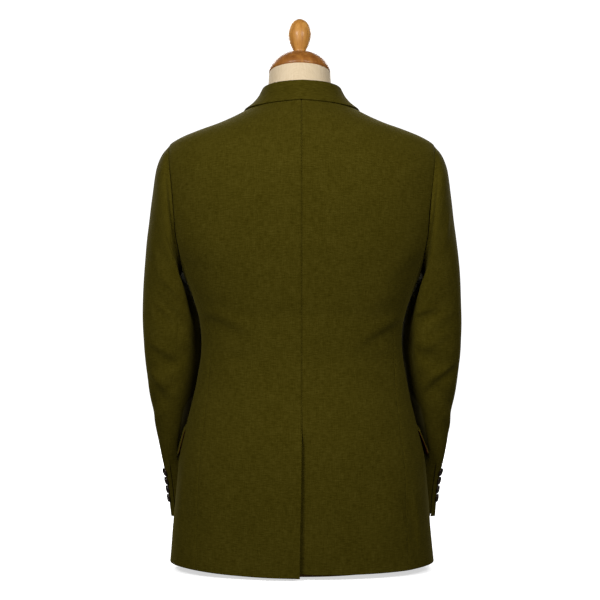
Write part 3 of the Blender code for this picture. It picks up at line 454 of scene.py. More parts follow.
def armhole_angle(turn):
    """The angle of the same place round the body."""
    height = armhole_height(turn)
    behind = angle_at(ARMHOLE.read("behind", height), height, False)
    before = angle_at(ARMHOLE.read("before", height), height, True)
    return np.where(np.sin(np.radians(turn)) >= 0, behind, before)


# Where the side seams meet the armhole
JUNCTION_TURN = 135.0
JUNCTION = float(armhole_height(JUNCTION_TURN))
JUNCTION_ANGLES = armhole_angle(np.array([JUNCTION_TURN, 360 - JUNCTION_TURN]))
SIDE_SEAMS = Table(("height", "behind", "before"), SIDE_SEAM_ROWS + ((JUNCTION, *JUNCTION_ANGLES),))


# ---------------------------------------------------------------- creases

# Soft folds of the body's cloth, each a trough with a lower ridge on its right as it runs: the angle and
# height of its start, those of its end, its depth and its width
BODY_CREASES = {
    "left": (
        (74, 0.4170, 33, 0.3910, 0.0023, 0.0075),
        (60, 0.4450, 40, 0.4320, 0.0008, 0.0110),
        (48, 0.3560, 30, 0.3490, 0.0009, 0.0100),
        (70, 0.5150, 44, 0.4830, 0.0010, 0.0120),
        (33, 0.0300, 27, 0.1900, 0.0009, 0.0170),
        (62, 0.0500, 60, 0.1900, 0.0011, 0.0110),
        (62, 0.6500, 40, 0.6200, 0.0007, 0.0160),
        (118, 0.5200, 146, 0.4650, 0.0012, 0.0110),
        (168, 0.3860, 136, 0.4120, 0.0018, 0.0070),
        (166, 0.3700, 134, 0.3500, 0.0014, 0.0070),
        (134, 0.2900, 128, 0.3400, 0.0010, 0.0100),
        (146, 0.0500, 140, 0.1700, 0.0010, 0.0140),
    ),
    "right": (
        (86, 0.4140, 35, 0.3690, 0.0028, 0.0072),
        (60, 0.4400, 42, 0.4330, 0.0009, 0.0110),
        (60, 0.3560, 38, 0.3430, 0.0010, 0.0090),
        (72, 0.5150, 46, 0.4700, 0.0011, 0.0120),
        (26, 0.0250, 30, 0.1500, 0.0009, 0.0170),
        (60, 0.0500, 54, 0.1300, 0.0034, 0.0055),
        (72, 0.1300, 66, 0.2300, 0.0012, 0.0090),
        (60, 0.6400, 43, 0.6050, 0.0007, 0.0170),
        (117, 0.5150, 143, 0.4700, 0.0012, 0.0110),
        (170, 0.3800, 138, 0.3980, 0.0016, 0.0075),
        (164, 0.3600, 137, 0.3380, 0.0013, 0.0075),
        (150, 0.0700, 143, 0.1800, 0.0010, 0.0140),
    ),
}
BODY_REACH = 0.0031                 # metres round the body for a degree, where creases are measured

# The same on the sleeves, by turn round them and share along them
SLEEVE_CREASES = {
    "left": (
        (64, 0.385, 96, 0.436, 0.0016, 0.0050),
        (88, 0.120, 128, 0.155, 0.0016, 0.0070),
        (46, 0.500, 112, 0.552, 0.0019, 0.0062),
        (38, 0.585, 106, 0.668, 0.0021, 0.0066),
        (72, 0.300, 112, 0.345, 0.0010, 0.0085),
        (30, 0.240, 66, 0.330, 0.0010, 0.0120),
        (58, 0.740, 104, 0.700, 0.0010, 0.0085),
        (250, 0.420, 312, 0.455, 0.0019, 0.0062),
        (240, 0.505, 300, 0.490, 0.0016, 0.0068),
        (255, 0.590, 310, 0.560, 0.0013, 0.0075),
        (236, 0.360, 288, 0.385, 0.0013, 0.0080),
        (320, 0.170, 345, 0.290, 0.0009, 0.0130),
        (270, 0.760, 318, 0.800, 0.0010, 0.0095),
    ),
    "right": (
        (34, 0.556, 136, 0.646, 0.0030, 0.0058),
        (60, 0.470, 112, 0.525, 0.0014, 0.0072),
        (34, 0.150, 52, 0.235, 0.0014, 0.0085),
        (82, 0.398, 136, 0.380, 0.0015, 0.0060),
        (46, 0.420, 100, 0.470, 0.0012, 0.0090),
        (76, 0.520, 130, 0.500, 0.0011, 0.0070),
        (52, 0.760, 100, 0.715, 0.0011, 0.0085),
        (248, 0.405, 306, 0.440, 0.0018, 0.0064),
        (238, 0.480, 296, 0.500, 0.0017, 0.0062),
        (258, 0.570, 314, 0.545, 0.0013, 0.0078),
        (262, 0.330, 300, 0.365, 0.0012, 0.0085),
        (318, 0.200, 342, 0.300, 0.0009, 0.0130),
        (276, 0.740, 322, 0.790, 0.0010, 0.0095),
    ),
}
SLEEVE_LENGTH = 0.640
SLEEVE_REACH = 0.00098              # metres round the sleeve for a degree

# Slow unevenness of the whole cloth: waves per metre round and up, their phase and their height
RIPPLES = (
    (3.1, 5.7, 0.4, 0.00030),
    (7.9, 2.3, 2.1, 0.00022),
    (5.3, -9.7, 4.4, 0.00016),
    (13.7, 6.1, 1.2, 0.00010),
    (-11.3, 15.1, 3.0, 0.00007),
)

SLOW_SIDE = 3.0                     # how much wider a trough is on the side away from its ridge
RIDGE, RIDGE_PLACE, RIDGE_WIDTH = 0.55, 2.0, 1.4    # over the trough's depth, and over its width
CREASE_BOW = 0.06                   # how far a crease bows, over its length
CREASE_WIDTHS = (0.8, 0.5)          # its width at its start, and what is added towards its end
CREASE_FADING = 1.3                 # how much it fades at both ends

SHOULDERS, SHOULDER_CALM = (0.66, 0.72), 0.75       # heights from which, and how much, the slow waves fade

# Beside the plain surface, the cloth of the back stands fuller above the waist and falls in below it
BACK_FULLNESS = Table(
    ("height", "rise"),
    (
        (0.1000, 0),
        (0.2000, -0.0008),
        (0.2700, -0.0026),
        (0.3150, -0.0040),
        (0.3500, -0.0030),
        (0.3850, 0.0004),
        (0.4200, 0.0030),
        (0.4600, 0.0040),
        (0.5200, 0.0026),
        (0.5900, 0),
    ),
)
FULLNESS_FADE = (48.0, 78.0)


def creased(across, up, rows, across_scale, up_scale):
    """The summed relief of the creases at places given in the rows' own units. The scales turn those into
    metres. The cloth rises quickly to a crease's ridge and slowly on the other side."""
    relief = np.zeros(np.broadcast(across, up).shape)
    for *ends, depth, crease_width in rows:
        start_x, start_y, end_x, end_y = np.array(ends) * ((across_scale, up_scale) * 2)
        run_x, run_y = end_x - start_x, end_y - start_y
        length = math.hypot(run_x, run_y)
        x, y = across * across_scale - start_x, up * up_scale - start_y
        share = (x * run_x + y * run_y) / length**2
        bowed = CREASE_BOW * length * (1 - (2 * share - 1) ** 2)
        off = (x * run_y - y * run_x) / length - bowed
        width = crease_width * (CREASE_WIDTHS[0] + CREASE_WIDTHS[1] * np.clip(share, 0, 1))
        fading = np.exp(-CREASE_FADING * (2 * share - 1) ** 4)
        trough = np.exp(-((off / np.where(off > 0, width, SLOW_SIDE * width)) ** 2))
        ridge = RIDGE * np.exp(-(((off - RIDGE_PLACE * width) / (RIDGE_WIDTH * width)) ** 2))
        relief += depth * fading * (ridge - trough)
    return relief


def rippled(x, y):
    """Slow waves over the whole cloth; x and y are in metres."""
    return sum(height * np.sin(2 * math.pi * (x * u + y * v) + phase) for u, v, phase, height in RIPPLES)


def body_relief(angle, height, side):
    """How far the body's cloth rises or sinks at a place."""
    signed = angle if side == "left" else -angle
    calm = 1 - SHOULDER_CALM * blend(*SHOULDERS, height)
    fullness = BACK_FULLNESS.read("rise", height) * (1 - blend(*FULLNESS_FADE, angle))
    creases = creased(angle, height, BODY_CREASES[side], BODY_REACH, 1)
    return fullness + creases + calm * rippled(signed * BODY_REACH, height)


# ---------------------------------------------------------------- thin shells


def stations(length, start=True, end=True, step=GRID):
    """Shares from 0 to 1 along a length, closer together beside a start or an end that has a seam or edge."""
    steps = np.array(EDGE_STEPS) / length
    first, last = (steps[-1] if start else 0), (1 - steps[-1] if end else 1)
    middle = np.linspace(first, last, max(2, round((last - first) * length / step) + 1))
    shares = [np.array([0.0]), steps[:-1] if start else [], middle, 1 - steps[-2::-1] if end else [], [1.0]]
    return np.unique(np.round(np.concatenate(shares), 7))


def distances(points):
    """Each grid point's distance along the grid to its first and last column and its first and last row."""
    found = {}
    for axis, names in ((0, ("first_column", "last_column")), (1, ("first_row", "last_row"))):
        steps = np.linalg.norm(np.diff(points, axis=axis), axis=-1)
        run = np.concatenate([np.zeros_like(np.take(steps, [0], axis)), np.cumsum(steps, axis)], axis)
        found[names[0]], found[names[1]] = run, np.take(run, [-1], axis) - run
    return found


def groove(distance):
    """The dip beside a seam, and the faint rise where the pressed seam allowance ends."""
    dip = -SEAM_DEPTH * np.exp(-((distance / SEAM_WIDTH) ** 2))
    return dip + SEAM_PRESS_RISE * np.exp(-(((distance - SEAM_PRESS_WIDTH) / SEAM_PRESS_SPREAD) ** 2))


def rounding(distance):
    """How far each face of the cloth draws in beside a free edge, so that the edge is round."""
    near = np.clip(HALF_CLOTH - distance, 0, HALF_CLOTH)
    return HALF_CLOTH - np.sqrt(np.maximum(HALF_CLOTH**2 - near**2, 0))


def grid_normals(points):
    """Unit normals of a grid whose columns go round anticlockwise seen from above and whose rows go down."""
    return unit(np.cross(np.gradient(points, axis=1), np.gradient(points, axis=0)))


def linked(name, data):
    """A new object in the scene."""
    obj = bpy.data.objects.new(name, data)
    bpy.context.scene.collection.objects.link(obj)
    return obj


def smooth_mesh(name, points, faces, metres=None, sharp=None, materials=()):
    """A smooth mesh, its edges sharp from an angle on. The points' places on the cloth go into a UV map."""
    mesh = bpy.data.meshes.new(name)
    mesh.from_pydata(np.reshape(points, (-1, 3)).tolist(), [], faces)
    if metres is not None:
        corner = np.zeros(len(mesh.loops), int)
        mesh.loops.foreach_get("vertex_index", corner)
        mesh.uv_layers.new(name="cloth").data.foreach_set("uv", metres[corner].ravel())
    mesh.shade_smooth()
    if sharp:
        mesh.set_sharp_from_angle(angle=math.radians(sharp))
    for material in materials:
        mesh.materials.append(material)
    return mesh


def reshaped(mesh, change):
    """Lets a function change a mesh by way of bmesh."""
    shape = bmesh.new()
    shape.from_mesh(mesh)
    change(shape)
    shape.to_mesh(mesh)
    shape.free()


def face_outwards(shape):
    bmesh.ops.recalc_face_normals(shape, faces=shape.faces)


def cloth_metres(points, level="first_row"):
    """The cloth's own metres at each point of a grid, across it and from the level end along it."""
    run = distances(points)
    return np.stack([run["first_column"], run[level]], -1)


def shell(name, outer, inner, side, lined=None, present=None, level="first_row", also=()):
    """A closed thin shell of cloth between two grids, in place of the node of its name and of those that it
    also stands for. Cells where present is false are left out, and where lined is true the inner face is
    lining."""
    columns, rows = outer.shape[:2]
    count = columns * rows
    present = np.ones((columns - 1, rows - 1), bool) if present is None else present
    index = np.arange(count).reshape(columns, rows)
    a, b, c, d = index[:-1, :-1], index[1:, :-1], index[1:, 1:], index[:-1, 1:]
    quads = np.stack([a, b, c, d], -1)[present]
    faces = [quads, quads[:, ::-1] + count]
    slots = [np.zeros(len(quads), int)]
    slots.append(np.zeros(len(quads), int) if lined is None else lined[present].astype(int))
    framed = np.pad(present, 1)
    borders = (
        (framed[:-2, 1:-1], a, d),
        (framed[1:-1, :-2], b, a),
        (framed[2:, 1:-1], c, b),
        (framed[1:-1, 2:], d, c),
    )
    for neighbour, start, end in borders:
        here = present & ~neighbour
        faces.append(np.stack([start[here], end[here], end[here] + count, start[here] + count], -1))
        slots.append(np.zeros(int(here.sum()), int))
    faces, slots = np.concatenate(faces), np.concatenate(slots)
    points = np.concatenate([outer.reshape(-1, 3), inner.reshape(-1, 3)])
    if side == "right":
        points = points * np.array([-1, 1, 1])
    p, q, r, s = (points[faces[:, k]] for k in range(4))
    volume = np.sum(p * np.cross(q, r)) + np.sum(p * np.cross(r, s))
    if volume < 0:
        faces = faces[:, ::-1]
    used, faces = np.unique(faces, return_inverse=True)
    metres = np.tile(cloth_metres(outer, level).reshape(-1, 2), (2, 1))[used]
    faces = faces.reshape(-1, 4).tolist()
    mesh = smooth_mesh(name + "_cloth", points[used], faces, metres, SHARP_CLOTH, (MOLESKIN, LINING))
    mesh.polygons.foreach_set("material_index", slots)
    finished(linked(name + "_cloth", mesh), "moleskin", name, *also)


def finished(obj, slot, *nodes):
    """Puts a piece on the model's body, in place of its nodes if it has any."""
    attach(obj, "root")
    if nodes:
        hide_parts(*nodes)


def body_shell(name, angle, height, lift, side, dips, edges, **options):
    """A thin shell on the body's surface. dips and edges are the distances to its seams and free edges, each
    with a weight."""
    relief = lift + body_relief(angle, height, side)
    outer, inner = relief.copy(), relief - CLOTH
    for weight, distance in dips:
        outer = outer + weight * groove(distance)
    for weight, distance in edges:
        outer = outer - weight * rounding(distance)
        inner = inner + weight * rounding(distance)
    shell(name, on_body(angle, height, outer), on_body(angle, height, inner), side, **options)


# ---------------------------------------------------------------- node materials


class Nodes:
    """A short way to write a material's node tree."""

    def __init__(self, name, **sockets):
        self.material = bpy.data.materials.new(name)
        self.material.use_nodes = True
        self.tree = self.material.node_tree
        self.shader = self.tree.nodes["Principled BSDF"]
        for socket, value in sockets.items():
            self.shader.inputs[socket.replace("_", " ")].default_value = value

    def add(self, kind, settings=None, **inputs):
        """Adds a node. An input is a value, or a node whose first output (or a named one) it takes."""
        node = self.tree.nodes.new("ShaderNode" + kind)
        for key, value in (settings or {}).items():
            setattr(node, key, value)
        for key, value in inputs.items():
            socket = node.inputs[int(key[1:])] if key[0] == "i" and key[1:].isdigit() else node.inputs[key]
            self.feed(socket, value)
        return node

    def feed(self, socket, value):
        if isinstance(value, bpy.types.Node):
            value = value.outputs[0]
        if isinstance(value, bpy.types.NodeSocket):
            self.tree.links.new(value, socket)
        else:
            socket.default_value = value

    def math(self, operation, first, second):
        return self.add("Math", {"operation": operation}, i0=first, i1=second)

    def cloth(self):
        """The place on the cloth, in the metres of its UV map."""
        return self.add("UVMap", {"uv_map": "cloth"}).outputs[0]

    def place(self):
        return self.add("TexCoord").outputs["Object"]

    def noise(self, place, scale, detail, roughness, distortion=0.0, stretch=None):
        if stretch:
            place = self.add("Mapping", None, Vector=place, Scale=stretch)
        return self.add("TexNoise", None, Vector=place, Scale=scale, Detail=detail, Roughness=roughness,
                        Distortion=distortion)

    def twill(self, cloth, scale, distortion, **inputs):
        return self.add("TexWave", {"wave_type": "BANDS", "bands_direction": "DIAGONAL"}, Vector=cloth,
                        Scale=scale, Distortion=distortion, **inputs)

    def weighted(self, *layers):
        """The weighted sum of some outputs."""
        total = None
        for output, weight in layers:
            share = self.math("MULTIPLY", output, weight)
            total = self.math("ADD", total, share) if total else share
        return total

    def ramp(self, value, stops):
        """A colour ramp; stops are (position, colour)."""
        node = self.add("ValToRGB", None, Fac=value)
        ramp = node.color_ramp
        while len(ramp.elements) < len(stops):
            ramp.elements.new(0.5)
        for element, (position, colour) in zip(ramp.elements, stops):
            element.position = position
            element.color = (*colour, 1)
        return node

    def mixed(self, share, first, second):
        node = self.add("Mix", {"data_type": "RGBA"})
        for socket, value in ((node.inputs[0], share), (node.inputs[6], first), (node.inputs[7], second)):
            self.feed(socket, (*value, 1) if isinstance(value, tuple) else value)
        return node.outputs[2]

    def bumped(self, layers):
        """Chains bumps; layers are (height, distance in metres, strength)."""
        last = None
        for height, distance, strength in layers:
            node = self.add("Bump", None, Height=height, Distance=distance, Strength=strength)
            if last:
                self.tree.links.new(last.outputs[0], node.inputs["Normal"])
            last = node
        self.tree.links.new(last.outputs[0], self.shader.inputs["Normal"])

    def coloured(self, colour):
        self.feed(self.shader.inputs["Base Color"], colour)
        return self.material


# Stops of the colour ramps
MOLESKIN_TONES = (
    (0.405, (0.0345, 0.0265, 0.0015)),
    (0.500, (0.0500, 0.0390, 0.0032)),
    (0.595, (0.0670, 0.0530, 0.0062)),
)
LINING_TONES = ((0.35, (0.048, 0.007, 0.005)), (0.68, (0.095, 0.017, 0.012)))
HORN_TONES = ((0.36, (0.008, 0.005, 0.004)), (0.55, (0.028, 0.014, 0.008)), (0.72, (0.11, 0.055, 0.024)))
THREAD_TONES = ((0.3, (0.020, 0.017, 0.004)), (0.7, (0.050, 0.043, 0.012)))
LINEN_TONES = ((0.34, (0.59, 0.455, 0.28)), (0.50, (0.725, 0.58, 0.385)), (0.66, (0.84, 0.70, 0.51)))
FLECK_SHARES = ((0.62, (0, 0, 0)), (0.74, (0.35, 0.35, 0.35)))
FLECK_COLOUR = (0.14, 0.045, 0.010)


def moleskin_material():
    """Brushed cotton: a dull short nap over a dense satin weave, with faint streaks along the threads."""
    nodes = Nodes("moleskin", Roughness=0.93, Sheen_Weight=0.08, Sheen_Roughness=0.5,
                  Sheen_Tint=(0.80, 0.68, 0.14, 1), Specular_IOR_Level=0.04, Specular_Tint=(1, 0.85, 0.35, 1))
    cloth, place = nodes.cloth(), nodes.place()
    patches = nodes.noise(place, 26.0, 4.0, 0.6, 0.4)
    brushed = nodes.noise(place, 150.0, 4.0, 0.6, 0.3, (1, 1, 0.6))
    weft = nodes.noise(cloth, 1.0, 4.0, 0.65, 0, (95.0, 560.0, 1.0))
    warp = nodes.noise(cloth, 1.0, 3.0, 0.6, 0, (620.0, 60.0, 1.0))
    nap = nodes.noise(place, 1300.0, 3.0, 0.7)
    tone = nodes.weighted((patches, 0.09), (brushed, 0.13), (weft, 0.44), (warp, 0.24), (nap, 0.10))
    nodes.bumped((
        (patches, 0.0012, 0.12),
        (brushed, 0.0009, 0.22),
        (weft, 0.0004, 0.45),
        (nodes.twill(cloth, 110.0, 0.6, Detail=1.0), 0.0002, 0.15),
        (nap, 0.0005, 0.40),
    ))
    return nodes.coloured(nodes.ramp(tone, MOLESKIN_TONES))


def lining_material():
    """Dark wine-red satin lining, its sheen painted into the colour as lighter streaks."""
    nodes = Nodes("lining", Roughness=0.46, Specular_IOR_Level=0.22, Specular_Tint=(1, 0.55, 0.45, 1))
    cloth = nodes.cloth()
    sheen = nodes.noise(cloth, 1.0, 4.0, 0.6, 0, (24.0, 6.0, 1.0))
    nodes.bumped(((sheen, 0.002, 0.3), (nodes.twill(cloth, 260.0, 0.3), 0.0002, 0.25)))
    # The ramp paints the satin's sheen: lighter red where the streaky noise is high.
    return nodes.coloured(nodes.ramp(sheen, LINING_TONES))


def horn_material():
    """Polished dark horn with cloudy streaks."""
    nodes = Nodes("horn", Roughness=0.24, Coat_Weight=0.25, Coat_Roughness=0.12, Specular_IOR_Level=0.5)
    place = nodes.place()
    cloudy = nodes.noise(place, 160.0, 5.0, 0.65, 1.6, (1, 1, 3.0))
    nodes.bumped(((nodes.noise(place, 1400.0, 3.0, 0.6), 0.0001, 0.25),))
    return nodes.coloured(nodes.ramp(cloudy, HORN_TONES))


def thread_material():
    """Twisted thread of the cloth's colour."""
    nodes = Nodes("thread", Roughness=0.8, Specular_IOR_Level=0.1)
    twist = nodes.noise(nodes.place(), 2200.0, 2.0, 0.6)
    nodes.bumped(((twist, 0.0002, 0.5),))
    return nodes.coloured(nodes.ramp(twist, THREAD_TONES))


def linen_material():
    """Pale ecru linen with slubby threads both ways."""
    nodes = Nodes("linen", Roughness=0.88, Sheen_Weight=0.15, Sheen_Roughness=0.4, Specular_IOR_Level=0.25)
    cloth = nodes.cloth()
    weft = nodes.noise(cloth, 1.0, 4.0, 0.65, 0, (60.0, 900.0, 1.0))
    warp = nodes.noise(cloth, 1.0, 4.0, 0.65, 0, (900.0, 60.0, 1.0))
    stain = nodes.noise(nodes.place(), 16.0, 3.0, 0.5)
    nodes.bumped(((weft, 0.0005, 0.45), (warp, 0.0005, 0.45)))
    return nodes.coloured(nodes.ramp(nodes.weighted((weft, 0.42), (warp, 0.38), (stain, 0.20)), LINEN_TONES))


def wood_material(name, dark, middle, light):
    """Varnished beech: long grain with short dark flecks."""
    nodes = Nodes(name, Roughness=0.48, Coat_Weight=0.22, Coat_Roughness=0.18, Specular_IOR_Level=0.30)
    place = nodes.place()
    rings = nodes.noise(place, 70.0, 4.0, 0.55, 0.8, (1.0, 1.0, 0.12))
    fibres = nodes.noise(place, 620.0, 3.0, 0.6, 0, (1.0, 1.0, 0.05))
    flecks = nodes.noise(place, 900.0, 2.0, 0.5, 0, (1.0, 1.0, 0.22))
    tone = nodes.weighted((rings, 0.7), (fibres, 0.3))
    grain = nodes.ramp(tone, ((0.34, dark), (0.50, middle), (0.66, light)))
    nodes.bumped(((fibres, 0.0002, 0.15),))
    return nodes.coloured(nodes.mixed(nodes.ramp(flecks, FLECK_SHARES), grain, FLECK_COLOUR))


MOLESKIN = moleskin_material()
LINING = lining_material()
HORN = horn_material()
THREAD = thread_material()
LINEN = linen_material()
WOOD = wood_material("wood", (0.37, 0.143, 0.022), (0.53, 0.240, 0.046), (0.67, 0.34, 0.082))
CAP_WOOD = wood_material("cap_wood", (0.19, 0.060, 0.008), (0.30, 0.110, 0.017), (0.40, 0.165, 0.030))


# ---------------------------------------------------------------- backs, sides and fronts


def half_gap(height):
    """Half the gap along a seam, which closes near the hem so that the floor can't be seen through it."""
    return SEAM_GAP / 2 * ((1 + HEM_LAP) * blend(*GAP_CLOSES, height) - HEM_LAP)


def outer_edge(height, front):
    """The edge that faces the side: the side seam, then the armhole, then the shoulder seam."""
    name, inwards = ("before", half_gap(height)) if front else ("behind", -half_gap(height))
    seam = moved_round(SIDE_SEAMS.read(name, height), height, inwards)
    ridge = moved_round(np.full_like(height, 90.0), height, inwards)
    armhole = angle_at(ARMHOLE.read(name, height), height, front)
    edge = np.where(height <= JUNCTION + TOLERANCE, seam, armhole)
    return np.where(height >= SHOULDER_POINT - TOLERANCE, ridge, edge)


def panel_heights(hem, top):
    """Rows of a back or front, hem to underarm, then beside the armhole, then over the shoulder."""
    low = stations(JUNCTION - HEM_BACK, True, False)
    lower = [hem + (JUNCTION - hem) * share for share in low]
    beside = armhole_height(np.linspace(JUNCTION_TURN, 0, BESIDE_ROWS)[1:])
    level = [np.full_like(hem, height) for height in beside]
    over = [SHOULDER_POINT + (top - SHOULDER_POINT) * share for share in np.linspace(0, 1, OVER_ROWS)[1:]]
    return np.stack(lower + level + over, axis=1)


def build_back(side):
    """Below the vent's top the left back lies over a tongue of the right one."""
    share = stations(BACK_WIDTH)
    heights = panel_heights(hem_height(share * BEHIND_HEM), neck_seam(share * 90))
    if side == "right":
        rise = RIGHT_HEM_RISE * (1 - share[:, None])
        heights = heights + rise * (1 - blend(HEM_BACK, RIGHT_HEM_LEVEL, heights))
    centre = moved_round(np.zeros(heights.shape[1]), heights[0], SEAM_GAP / 2)
    outer = outer_edge(heights[-1], False)
    in_vent = 1 - blend(VENT_TOP - VENT_BLEND, VENT_TOP + VENT_BLEND, heights[0])
    lift = np.zeros_like(heights)
    if side == "left":
        open_by = VENT_OPENING * (1 - blend(HEM_BACK, VENT_TOP, heights[0]))
        centre = centre + angle_at(open_by, heights[0], False) * in_vent
        lift = LAYER + VENT_STAND_OFF * (1 - blend(HEM_BACK, VENT_TOP, heights))
        lift = lift * (1 - blend(VENT_TOP, VENT_TOP + VENT_FADE, heights))
        lift = lift * (1 - blend(*VENT_RISE, share))[:, None]
    angles = centre + (outer - centre) * share[:, None]
    present = None
    if side == "right":
        under = np.linspace(-VENT_UNDERLAP, 0, TONGUE_COLUMNS + 1)[:-1, None]
        angles = np.concatenate([angle_at(under, heights[:1], False), angles])
        repeats = [len(under) + 1] + [1] * (len(heights) - 1)
        heights, lift = np.repeat(heights, repeats, axis=0), np.repeat(lift, repeats, axis=0)
        present = np.ones((len(angles) - 1, angles.shape[1] - 1), bool)
        present[: len(under)] = (heights[0, 1:] < VENT_TOP + VENT_FADE_IN[1])[None, :]
    away = distances(on_body(angles, heights))
    past_centre = away["first_column"] - (VENT_UNDERLAP if side == "right" else 0)
    side_seam = np.where(heights[0] < JUNCTION, FAINT_SEAM, 1.0)
    dips = [
        (CENTRE_SEAM * (1 - in_vent), np.maximum(past_centre, 0)),
        (side_seam, away["last_column"]),
        (1.0, away["last_row"]),
    ]
    edges = [(1.0, away["first_row"])]
    opened = 1 - blend(VENT_TOP + VENT_FADE_IN[0], VENT_TOP + VENT_FADE_IN[1], heights)
    if side == "left":
        edges.append((in_vent, away["first_column"]))
        lift = lift + VENT_SWELL * np.exp(-((past_centre / VENT_SWELL_WIDTH) ** 2)) * opened
    else:
        under = np.where(past_centre < 0, 1, np.exp(-((past_centre / VENT_DIP_WIDTH) ** 2)))
        lift = lift - VENT_DIP * under * opened
    body_shell(f"back_{side}", angles, heights, lift, side, dips, edges,
               lined=away["first_row"][1:, 1:] > HEM_TURNED, present=present)


def build_side(side):
    """The panel under the arm, between the two side seams and up to the foot of the armhole."""
    turns = JUNCTION_TURN + (360 - 2 * JUNCTION_TURN) * stations(SIDE_WIDTH)
    share = (turns - turns[0]) / (turns[-1] - turns[0])
    top, top_angle = armhole_height(turns), armhole_angle(turns)
    curved = top_angle - (top_angle[0] + (top_angle[-1] - top_angle[0]) * share)
    hems = hem_height(BEHIND_HEM), hem_height(BEFORE_HEM)
    hem = hem_height(BEHIND_HEM + (BEFORE_HEM - BEHIND_HEM) * share)
    angles, heights = [], []
    for row in stations(SIDE_LENGTH):
        level = [low + (JUNCTION - low) * row for low in hems]
        behind = moved_round(SIDE_SEAMS.read("behind", level[0]), level[0], half_gap(level[0]))
        before = moved_round(SIDE_SEAMS.read("before", level[1]), level[1], -half_gap(level[1]))
        angles.append(behind + (before - behind) * share + curved * row**ARMHOLE_CURVE)
        heights.append(hem + (top - hem) * row)
    angles, heights = np.stack(angles, axis=1), np.stack(heights, axis=1)
    away = distances(on_body(angles, heights))
    dips = [(FAINT_SEAM, away["first_column"]), (FAINT_SEAM, away["last_column"]), (1.0, away["last_row"])]
    body_shell(f"side_{side}", angles, heights, np.zeros_like(angles), side, dips, [(1.0, away["first_row"])],
               lined=away["first_row"][1:, 1:] > HEM_TURNED)


def front_lift(x):
    """The left front rises over the right one where the two overlap."""
    return LAYER * (1 - blend(OVERLAP_LEVEL, OVERLAP_END, x))


def pocket_line(angle, height):
    """The dip in which a pocket flap is sewn."""
    share = (angle - FLAP_HIND_ANGLE) / (FLAP_FORE_ANGLE - FLAP_HIND_ANGLE)
    off = height - (FLAP_HIND_TOP + (FLAP_FORE_TOP - FLAP_HIND_TOP) * share)
    inside = blend(*POCKET_END, share) * blend(*POCKET_END, 1 - share)
    return -POCKET_DEPTH * inside * np.exp(-((off / POCKET_WIDTH) ** 2))


def build_front(side):
    share = stations(FRONT_WIDTH)
    hem = hem_height(BEFORE_HEM + (FRONT_HEM_ANGLE - BEFORE_HEM) * share)
    heights = panel_heights(hem, np.full_like(share, NECK_SEAM_FRONT))
    outer = outer_edge(heights[0], True)
    edge = angle_at(FRONT_EDGE.read("across", heights[-1]), heights[-1], True)
    angles = outer + (edge - outer) * share[:, None]
    lift = pocket_line(angles, heights)
    if side == "left":
        lift = lift + front_lift(section_point(angles, heights)[..., 0])
    away = distances(on_body(angles, heights))
    dips = [(1.0, away["first_column"]), (1.0, away["last_row"])]
    edges = [(1.0, away["last_column"]), (1.0, away["first_row"])]
    lined = (away["last_column"] > FACING_WIDTH) & (away["first_row"] > HEM_TURNED)
    body_shell(f"front_{side}", angles, heights, lift, side, dips, edges, lined=lined[1:, 1:])


# ---------------------------------------------------------------- lapels, collar and flaps


def about_middle(name, middle, edges, seams, side="left", flipped=False, **options):
    """A thin shell half the cloth's thickness to each side of a middle surface."""
    normal = grid_normals(middle) * (-1 if flipped else 1)
    inset = sum(weight * rounding(distance) for weight, distance in edges)
    dip = sum(weight * groove(distance) for weight, distance in seams)
    outer = middle + normal * np.asarray(HALF_CLOTH - inset + dip)[..., None]
    inner = middle - normal * np.asarray(HALF_CLOTH - inset)[..., None]
    shell(name, outer, inner, side, **options)


def build_lapel(side):
    """The lapel with the soft fold in which the front turns back into it."""
    right = side == "right"
    rows, shares = stations(LAPEL_LENGTH)[None, :], stations(LAPEL_WIDTH)
    start = RIGHT_LAPEL_START if right else BREAK_POINT
    turn = np.linspace(math.pi, 0, FOLD_COLUMNS)[:-1]
    share = np.concatenate([np.zeros(len(turn)), shares])[:, None]
    bend = np.concatenate([turn, np.zeros(len(shares))])[:, None]
    seam = GORGE_TOP["height"] - SEAM_GAP, NOTCH["height"] - SEAM_GAP
    top = np.interp(share, (0, GORGE_SHARE, 1), (*seam, LAPEL_TIP_HEIGHT))
    heights = start + (top - start) * rows
    roll = FRONT_EDGE.read("across", heights)
    if right:
        roll = np.abs(roll) + 2 * LAYER_GAP
    edge = LAPEL_EDGE.read("across", heights)
    across = roll + (edge - roll) * share
    rise = LAPEL_ROLL * (1 - share) ** 2 * blend(0, LAPEL_ROLL_START, rows)
    lift = LAYER + LAYER_GAP + rise - HALF_CLOTH
    base = 0 if right else front_lift(across)
    half = (lift[len(turn)] + HALF_CLOTH)[None, :] / 2
    lift = np.where(bend > 0, lift - half * (1 - np.cos(bend)), lift)
    across = across - half * np.sin(bend)
    ripple = LAPEL_RIPPLE * np.sin(rows * LAPEL_WAVES + share * LAPEL_SLANT) * share
    ripple = ripple + LAPEL_SWAY * share**2 * np.sin(rows * LAPEL_SWAY_WAVES + 1)
    ripple = ripple + LAPEL_CURL * share**3 * blend(*LAPEL_CURL_START, rows)
    middle = on_body(angle_at(across, heights, True), heights, base + lift + ripple)
    away = distances(middle)
    notch = blend(*IN_NOTCH, share)
    edges = [(1.0, away["last_column"]), (1.0, away["first_row"]), (notch, away["last_row"])]
    about_middle(f"lapel_{side}", middle, edges, [(1 - notch, away["last_row"])], side, flipped=True)


